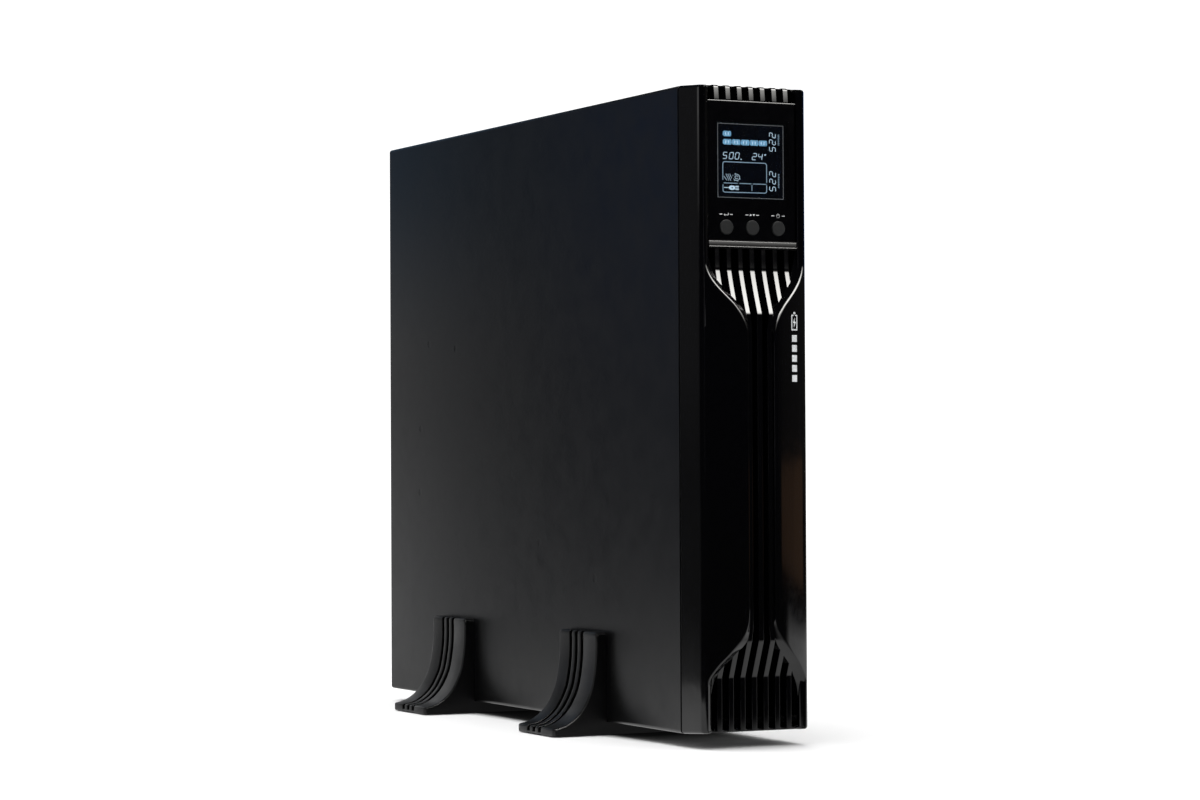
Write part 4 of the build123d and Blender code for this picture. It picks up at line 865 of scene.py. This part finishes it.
def add_digit(shells, char, x, z, width, height, lean, line, turned=False):
    """Leaning digit with its box's top left at x, z; turned is a quarter turn clockwise."""
    for name in DIGIT_SEGMENTS[char]:
        points = []
        for px, py in SEGMENT_ENDS[name]:
            across = px * width + (0.5 - py) * lean
            down = py * height
            points.append((x + height - down, z - across) if turned
                          else (x + across, z - down))
        ink_line(shells, points, line)


def add_figures(white):
    # upright figures: character, left x, width
    for char, x, width in (("5", -21.078, 2.837), ("0", -16.155, 2.837),
                           ("0", -11.649, 2.837), ("2", 1.702, 3.004), ("4", 6.291, 2.920)):
        if char == "2":  # the point between the two groups
            ink_patch(white, [(-7.644, 389.575), (-6.809, 389.575), (-6.809, 388.855),
                              (-7.644, 388.855)])
        add_digit(white, char, x, 393.604, width, height=4.3165, lean=0.8511, line=0.41)
    ink_line(white, ellipse(11.632, 392.884, 0.5007, 0.4317, 0, -360, 10), 0.3)
    # turned figures down the right side: top of the first, pitch
    for z, pitch in ((407.920, 4.7482), (381.445, 5.0360)):
        for i, char in enumerate("225"):
            add_digit(white, char, 14.969, z - i * pitch, width=2.8777, height=4.6728,
                      lean=0.6849, line=0.40, turned=True)


def add_tick_scales(boxes):
    """Fine ticks beside the turned figures, every other one shorter."""
    left, pitch, tick = 21.561, 0.57554, 0.2878
    for top, count in ((407.129, 13), (380.222, 17)):
        for k in range(count):
            z = top - k * pitch
            right = (22.730, 22.396)[k % 2]
            ink_patch(boxes, [(left, z), (right, z), (right, z - tick), (left, z - tick)])


def add_box_lines(boxes):
    # upper box, open along the bottom
    ink_line(boxes, [(-21.412, 374.971)]
             + ellipse(-19.576, 385.618, 1.8357, 1.5827, -180, -270, 6)
             + ellipse(10.797, 385.618, 1.8357, 1.5827, -270, -360, 6)
             + [(12.633, 374.035)], 0.55)
    # lower box, open along the top, with a divider
    ink_line(boxes, [(-21.328, 371.589)]
             + ellipse(-19.659, 367.992, 1.6689, 1.4388, -180, -90, 6)
             + ellipse(10.964, 368.280, 1.6689, 1.4388, -90, 0, 6)
             + [(12.633, 372.021)], 0.55)
    ink_line(boxes, [(1.118, 372.021), (1.118, 368.136)], 0.5)
    for x0, x1 in ((-20.661, -10.063), (-8.395, 0.450), (1.952, 12.299)):
        ink_line(boxes, [(x0, 372.812), (x1, 372.812)], 0.5)


def add_hatch_and_swirl(white):
    """Four slanting lines and a swirl in the upper box."""
    for line in ([(-20.577, 377.345), (-18.241, 374.611)],
                 [(-19.075, 378.927), (-16.739, 374.611)],
                 [(-17.573, 378.927), (-15.237, 374.611)],
                 [(-16.071, 378.927), (-14.569, 376.050)]):
        ink_line(white, line, 0.25)
    x, z = -10.898, 376.913
    ink_line(white, ellipse(x, z, 2.5033, 2.1583, -150, 120, 12), 0.27)
    ink_line(white, ellipse(x, z, 1.1682, 1.0072, -40, -300, 10) + [(-9.563, 377.488)], 0.3)
    for angle in (20, 65, 110, 200, 245):
        ink_line(white, ellipse(x, z, 3.0874, 2.6619, -angle, -angle - 12, 2), 0.24)


def add_plug(white, dark):
    """Plug symbol in the lower box."""
    left, right = -16.739, -11.899
    low, top = 368.280, 371.158
    z = 369.719
    ink_line(white, [(-20.410, z), (left, z)], 0.42)
    ink_patch(white, [(left, 370.294), (-15.571, top), (-13.067, top), (right, 370.294),
                      (right, 369.143), (-13.067, low), (-15.571, low), (left, 369.143)])
    top_patch(dark, ellipse(-14.319, z, 0.5841, 0.5036, 0, -360, 12))
    for prong_z in (370.582, 368.855):
        ink_line(white, [(right, prong_z), (-9.229, prong_z)], 0.5)
    for x, width in ((-9.730, 0.4), (-10.731, 0.3)):
        ink_line(white, [(x, top), (x, low)], width)


def lcd_picture():
    blue, white, boxes, dark, outline = (Shells() for _ in range(5))
    ink_line(outline, [(FRAME_LEFT, FRAME_LOW), (FRAME_RIGHT, FRAME_LOW),
                       (FRAME_RIGHT, FRAME_TOP), (FRAME_LEFT, FRAME_TOP),
                       (FRAME_LEFT, FRAME_LOW)], 0.42)
    add_level_bar(blue, white, left=-21.4116, right=-14.7362, low=404.5388, top=408.1360,
                  count=1, chamfer_x=0.9179)
    add_level_bar(blue, white, left=-21.4116, right=13.1336, low=398.8554, top=402.5964,
                  count=5, chamfer_x=0.9546)
    add_figures(white)
    add_tick_scales(boxes)
    add_box_lines(boxes)
    add_hatch_and_swirl(white)
    add_plug(white, dark)
    for shells, name, material in (
            (dark, "lcd_plug_hole", "lcd_dark"), (blue, "lcd_level_bars", "lcd_blue"),
            (white, "lcd_digits", "lcd_white"), (boxes, "lcd_boxes", "lcd_box"),
            (outline, "lcd_frame_lines", "lcd_frame")):
        shells.make(name, material, "lcd_glass", sharp=20)


lcd_picture()

# =============================================================== stand feet
# Drawn as an outline across the foot, x outwards and z up from the floor, then swept along y.
FOOT_BOTTOM = 0.6
FOOT_INNER = 44.05     # x of the face against the case
FOOT_OUTER = 86.1
# the flaring outer face, from the shoulder down to the toe: x, z
FLARE = [(52.3, 71.0), (52.2, 67.0), (52.25, 59.2), (52.8, 50.4), (54.1, 41.1), (55.9, 33.0),
         (58.8, 26.1), (62.4, 19.8), (66.3, 15.2), (70.3, 11.8), (74.8, 9.0), (78.7, 7.5),
         (82.0, 6.75), (84.9, 6.3)]
# underside and inner face: x, z
FOOT_UNDER = [(60.0, FOOT_BOTTOM), (30.0, FOOT_BOTTOM), (0.06, FOOT_BOTTOM), (0.06, 9.46),
              (20.0, 9.46), (FOOT_INNER, 9.46)]
FOOT_END_STEPS = [0.0, 0.06, 0.2, 0.45, 0.8, 1.25, 1.8, 2.5, 3.3]  # distances from an end
GROOVES = [22.9, 31.9, 40.9]           # middles, from the front end
# groove section: offset from its middle, depth
GROOVE_PROFILE = [(-2.8, 0.0), (-2.45, 0.08), (-2.2, 0.35), (-2.1, 0.9), (-2.0, 2.0),
                  (-1.8, 3.0), (-1.1, 3.6), (1.1, 3.6), (1.8, 3.0), (2.0, 2.0), (2.1, 0.9),
                  (2.2, 0.35), (2.45, 0.08), (2.8, 0.0)]


def catmull(points, per_span=6):
    """Catmull-Rom curve through the points."""
    knots = [np.array(p, float) for p in points]
    knots = [2 * knots[0] - knots[1]] + knots + [2 * knots[-1] - knots[-2]]
    curve = []
    for i in range(1, len(knots) - 2):
        a, b, c, d = knots[i - 1:i + 3]
        for k in range(per_span):
            t = k / per_span
            curve.append(0.5 * ((2 * b) + (-a + c) * t + (2 * a - 5 * b + 4 * c - d) * t * t
                                + (-a + 3 * b - 3 * c + d) * t ** 3))
    curve.append(knots[-2])
    return curve


def foot_outline():
    """Top, shoulder, flare, rounded toe and toe face."""
    shoulder, toe = 2.1, 1.2
    line = [(FOOT_INNER, 73.1), (46.2, 73.1), (48.3, 73.1)]
    for i in range(8):
        t = math.pi / 2 * i / 7
        line.append((50.15 + shoulder * math.sin(t), 71.0 + shoulder * math.cos(t)))
    line += catmull(FLARE)[1:]
    start = math.atan2(0.37, 1.0) * 0.6
    for i in range(7):
        t = start + (math.pi / 2 - start) * i / 6
        line.append((FOOT_OUTER - toe + toe * math.sin(t), 6.15 - toe + toe * math.cos(t)))
    line += [(FOOT_OUTER, 3.4), (FOOT_OUTER, 2.4), (86.05, 1.5), (85.9, 1.0),
             (85.6, FOOT_BOTTOM)]
    return [np.array(p) for p in line]


def outward_normals(line):
    normals = []
    for i in range(len(line)):
        before, after = line[max(i - 1, 0)], line[min(i + 1, len(line) - 1)]
        along = (after - before) / np.hypot(*(after - before))
        normals.append(np.array((abs(along[1]), abs(along[0]))))
    return normals


def round_inset(distance, radius):
    """Inset at a distance from the end of a quarter round."""
    if distance >= radius:
        return 0.0
    return radius - math.sqrt(max(0.0, radius * radius - (radius - distance) ** 2))


def foot_stations(length):
    """Along the foot: (position, distance from the nearer end, groove depth)."""
    clear = 9.0  # beyond the rounding of the ends
    stations = [(step, step, 0.0) for step in FOOT_END_STEPS]
    for groove in GROOVES:
        stations += [(groove + offset, clear, depth) for offset, depth in GROOVE_PROFILE]
    stations += [(length - step, step, 0.0) for step in FOOT_END_STEPS[::-1]]
    return sorted(stations, key=lambda station: station[0])


def foot_ring(outline, normals, from_end, groove):
    """(x, z) ring at one station."""
    face_inset = round_inset(from_end, 1.2)
    top_drop = round_inset(from_end, 3.0)
    toe_inset = round_inset(from_end, 3.3)
    ring = []
    for p, normal in zip(outline, normals):
        # grooves fade out down the toe face
        fade = smooth(2.2, 3.9, p[1]) if p[0] > 85.7 else 1.0
        top = smooth(63.0, 73.0, p[1])
        toe = smooth(78.0, 85.0, p[0])
        face = (1.0 - top) * (1.0 - toe)
        x, z = p - normal * (groove * fade) - normal * (face_inset * face)
        x -= face_inset * top + toe_inset * toe
        z -= top_drop * top + face_inset * toe * (1.0 if p[1] > 3.0 else 0.0)
        ring.append((max(x, FOOT_INNER), max(z, FOOT_BOTTOM)))
    return ring + FOOT_UNDER


def shade_foot(ob, front):
    """Painted shade: darker, smoother plastic on the flat ends and the underside, and darker,
    duller plastic inside the grooves, standing in for the shade that falls there.
    """
    # slots 1 and 2: the painted-shade copies for the ends and underside, and for the grooves
    plain, groove = 1, 2
    ob.data.materials.append(MATERIALS["foot_plastic_end_shade"])
    ob.data.materials.append(MATERIALS["foot_plastic_groove_shade"])
    for poly in ob.data.polygons:
        x, y, z = (c * 1000 for c in poly.center)
        in_groove = (any(abs(y - front - g) < 2.16 for g in GROOVES) and z > 2.4
                     and 44.3 < abs(x) <= 86.0 and poly.normal.z > -0.5)
        if in_groove:
            poly.material_index = groove
        elif abs(poly.normal.y) > 0.9 or z < 1.2:
            poly.material_index = plain


def stand_foot(tag, side_name, side):
    piece = f"stand_foot_{tag}_{side_name}"
    low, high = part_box(piece)
    front = low.y * 1000 + 1.8
    outline = foot_outline()
    normals = outward_normals(outline)
    foot = Shells()
    foot.loft([[(side * x, front + position, z)
                for x, z in foot_ring(outline, normals, from_end, groove)]
               for position, from_end, groove in foot_stations(high.y * 1000 - front)])
    ob = foot.make(f"foot_{tag}_{side_name}_shell", "foot_plastic", "foot_plastic",
                   sharp=42.0, replaces=(piece,), place=from_row)
    shade_foot(ob, front)


for tag in ("front", "rear"):
    stand_foot(tag, "left", -1)
    stand_foot(tag, "right", 1)


# =============================================================== floor
def sheet_reflection(g, x, y):
    """Brightness of the sheet as reflections see it: a lit area with edges."""
    # front edge, drawn nearer the case towards the right
    front = g.add(y, g.mul(g.calc("MAXIMUM", g.sub(x, 0.15), 0.0), 0.55))
    front_fade = g.remap(front, (-0.50, -0.34))
    front_fade = g.mul(front_fade, front_fade)
    # left edge, slanting away to the rear, with a faint wide fade beyond it
    left = g.add(x, g.mul(g.calc("MAXIMUM", g.sub(y, 0.24), 0.0), 0.34))
    left_fade = g.remap(left, (-0.475, -0.445))
    left_wide = g.remap(left, (-1.15, -0.475))
    inside = g.mul(front_fade, left_fade, g.remap(x, (1.7, 1.2)))
    outside_level = g.add(g.remap(y, (-0.2, 0.3), (0.018, 0.055)),
                          g.mul(left_wide, left_wide, g.remap(y, (-0.1, 0.3), (0.0, 0.13))))
    inside_level = g.sub(g.remap(y, (-0.30, 0.25), (0.97, 0.54)),
                         g.remap(y, (0.6, 1.6), (0.0, 0.30)))
    step = g.sub(inside_level, outside_level)
    return g.add(g.mul(inside, step), outside_level)


def floor_white():
    """White sheet: lit near the case, plain white further out, with a painted shadow (darker
    paper) right beneath the case.
    """
    mat, g = new_material("floor_white")
    paper = g.mix(g.noise(g.coords(), scale=3.0, detail=2.0, rough=0.5),
                  gray(0.90), gray(0.93))
    position = g.geometry("Position")
    x, y, _ = g.axes(position)
    # painted shadow: the paper turns to a dark 0.12 grey over the floor beneath the case
    painted_shadow_mask = g.mul(g.remap(x, (-0.052, -0.036)), g.remap(x, (0.052, 0.036)),
                  g.remap(y, (-0.205, -0.140)), g.remap(y, (0.27, 0.20)))
    lit = g.node("BsdfDiffuse", {0: g.mix(painted_shadow_mask, paper, gray(0.12))}).outputs[0]
    distance = g.node("VectorMath", {0: position}, operation="LENGTH").outputs["Value"]
    seen = g.mix_shader(g.remap(distance, (0.42, 0.75)), lit, g.emission({"Strength": 1.25}))
    reflected = g.emission({"Strength": sheet_reflection(g, x, y)})
    g.finish(g.mix_shader(g.ray("Is Glossy Ray"), seen, reflected))
    return mat


def staged_quad(name, corners, mat, hidden_from=()):
    """Four-cornered stage piece, in metres, hidden from the named kinds of ray."""
    me = bpy.data.meshes.new(name)
    me.from_pydata(corners, [], [(0, 1, 2, 3)])
    me.materials.append(mat)
    ob = bpy.data.objects.new(name, me)
    bpy.context.scene.collection.objects.link(ob)
    for kind in hidden_from:
        setattr(ob, "visible_" + kind, False)


FLOOR = 14.0  # half size
staged_quad("floor", [(-FLOOR, -FLOOR, 0), (FLOOR, -FLOOR, 0), (FLOOR, FLOOR, 0),
                      (-FLOOR, FLOOR, 0)], floor_white())


# =============================================================== world
def reflected_room(g, x, y, z):
    """Room colours by direction: dark in front, a dim wall behind with a blue band."""
    blue = g.mul(g.remap(z, (0.035, 0.085)), g.remap(x, (-0.57, -0.50)))
    wall = g.mix(blue, gray(0.020), [0.000, 0.074, 0.290, 1])
    wall = g.mix(g.remap(z, (0.14, 0.20)), wall, [0.022, 0.030, 0.040, 1])
    left_wall = g.mul(g.remap(x, (-0.56, -0.61)), g.remap(z, (-0.05, 0.0)))
    wall = g.mix(left_wall, wall, g.mix(g.remap(z, (-0.01, 0.03)), gray(0.045),
                                        [0.085, 0.085, 0.088, 1]))
    room = g.mix(g.remap(y, (0.25, 0.70)), [0.018, 0.018, 0.021, 1], wall)
    right = g.mul(g.remap(x, (0.72, 0.84)), g.remap(y, (0.25, 0.0)))
    room = g.mix(right, room, [0.050, 0.048, 0.046, 1])
    left_light = g.mul(g.remap(x, (-0.70, -0.78)), g.remap(z, (0.075, 0.11)),
                       g.remap(z, (0.5, 0.35)), g.remap(y, (0.0, 0.2)))
    room = g.mix(left_light, room, gray(0.95))
    # narrow upright strip to the front left
    toward_strip = g.add(g.mul(x, -0.78), g.mul(y, -0.626))
    strip = g.mul(g.remap(toward_strip, (0.9955, 0.9985)), g.remap(z, (-0.12, -0.05)))
    return g.mix(strip, room, [0.75, 0.75, 0.78, 1])


def softbox(g, x, y, z):
    """Soft-edged light high in front, a little to the right, slightly warm."""
    along = g.add(g.mul(x, 0.449), g.mul(y, -0.893))
    across = g.calc("ABSOLUTE", g.add(g.mul(x, 0.893), g.mul(y, 0.449)))
    spread = g.calc("DIVIDE", across, g.calc("MAXIMUM", along, 0.02))
    inside = g.mul(g.remap(spread, (0.62, 0.46)), g.remap(along, (0.05, 0.12)))
    scale = 22.0  # ramp colours are brightness over this
    # direction's z, brightness
    stops = [(0.0, 0.0), (0.135, 0.0), (0.20, 0.5), (0.26, 2.0), (0.34, 6.5), (0.42, 12.5),
             (0.50, 18.0), (0.60, 21.5), (0.88, 21.5), (0.96, 4.0)]
    ramp = g.node("ValToRGB", {0: z})
    elements = ramp.color_ramp.elements
    elements[1].position = stops[-1][0]
    for position, _ in stops[1:-1]:
        elements.new(position)
    for element, (_, brightness) in zip(elements, stops):
        element.color = gray(brightness / scale)
    light = g.mul(ramp.outputs["Color"], inside, scale)
    warm = {i: g.mul(light, tint) for i, tint in enumerate((1.0, 0.985, 0.95))}
    return g.node("CombineColor", warm).outputs[0]


def make_world():
    """White to the camera, light from above for diffuse rays, a room for reflections."""
    world = bpy.data.worlds.new("world")
    bpy.context.scene.world = world
    world.use_nodes = True
    g = Graph(world.node_tree, "OutputWorld")
    x, y, z = g.axes(g.coords("Generated"))
    room = g.mix(1.0, reflected_room(g, x, y, z), softbox(g, x, y, z), mode="ADD")
    diffuse = g.background(gray(1), g.remap(z, (0.2, 0.7), (0.03, 1.15)))
    lighting = g.mix_shader(g.ray("Is Glossy Ray"), diffuse, g.background(room, 1.0))
    g.finish(g.mix_shader(g.ray("Is Camera Ray"), lighting, g.background(gray(1), 1.2)))


make_world()


# =============================================================== light and cards
def top_light():
    """Broad overhead light, slightly behind and to the left, unseen in reflections."""
    light = bpy.data.lights.new("top", "AREA")
    light.shape = "RECTANGLE"
    light.size = light.size_y = 2.4
    light.energy = 55
    ob = bpy.data.objects.new("top", light)
    bpy.context.scene.collection.objects.link(ob)
    ob.location = (-0.25, 0.35, 2.3)
    ob.rotation_euler = (-ob.location).to_track_quat("-Z", "Y").to_euler()
    ob.visible_camera = False
    ob.visible_glossy = False


def card_pale():
    """Bright low down, bluish at the top, dark at the left."""
    mat, g = new_material("card_pale")
    x, _, z = g.axes(g.geometry("Position"))
    glow = g.mix(g.remap(z, (0.03, 0.25)), gray(1.25), gray(0.60))
    glow = g.mix(g.remap(z, (0.30, 0.46)), glow, [0.13, 0.22, 0.34, 1])
    glow = g.mix(g.remap(x, (-0.30, -0.08)), [0.025, 0.030, 0.040, 1], glow)
    g.finish(g.emission({0: glow}))
    return mat


def card_warm():
    mat, g = new_material("card_warm")
    clouds = g.noise(g.coords(), scale=4.0, detail=3.0, rough=0.6)
    g.finish(g.emission({0: g.mix(clouds, [0.20, 0.12, 0.08, 1], [0.34, 0.20, 0.12, 1])}))
    return mat


top_light()
REFLECTION_ONLY = ("camera", "diffuse", "shadow", "transmission")
# a pale card standing behind: rear end of the side panel and the feet
staged_quad("rear_card", [(-0.42, 0.64, 0.0), (0.25, 0.64, 0.0), (0.25, 0.64, 0.75),
                          (-0.42, 0.64, 0.75)], card_pale(), REFLECTION_ONLY)
# a warm card off to the front right: reflected in the right wing
staged_quad("reflected_card", [(1.12, -1.14, 0.075), (1.42, -0.436, 0.050),
                               (1.42, -0.436, 0.196), (1.12, -1.14, 0.188)],
            card_warm(), REFLECTION_ONLY)


# =============================================================== camera
def make_camera():
    """Looks at the case from the front left, slightly upwards."""
    place = (-1070.355, -1918.849, 187.278)               # case millimetres
    yaw, pitch, roll = 0.466528, 0.017982, 0.0048869      # to the right, up, clockwise
    forward = Vector((math.sin(yaw) * math.cos(pitch), math.cos(yaw) * math.cos(pitch),
                      math.sin(pitch)))
    level_right = Vector((math.cos(yaw), -math.sin(yaw), 0))
    level_down = forward.cross(level_right)
    right = math.cos(roll) * level_right + math.sin(roll) * level_down
    down = -math.sin(roll) * level_right + math.cos(roll) * level_down

    data = bpy.data.cameras.new("camera")
    data.sensor_width = 36.0
    data.sensor_fit = "HORIZONTAL"
    data.lens = 96.15882
    data.clip_start = 0.01
    data.clip_end = 50
    camera = bpy.data.objects.new("camera", data)
    bpy.context.scene.collection.objects.link(camera)
    matrix = Matrix((right, -down, -forward)).transposed().to_4x4()
    matrix.translation = Vector(from_case(place))
    camera.matrix_world = matrix
    bpy.context.scene.camera = camera


make_camera()
bpy.context.scene.view_settings.view_transform = "Standard"
bpy.context.scene.view_settings.look = "None"

bpy.context.view_layer.update()
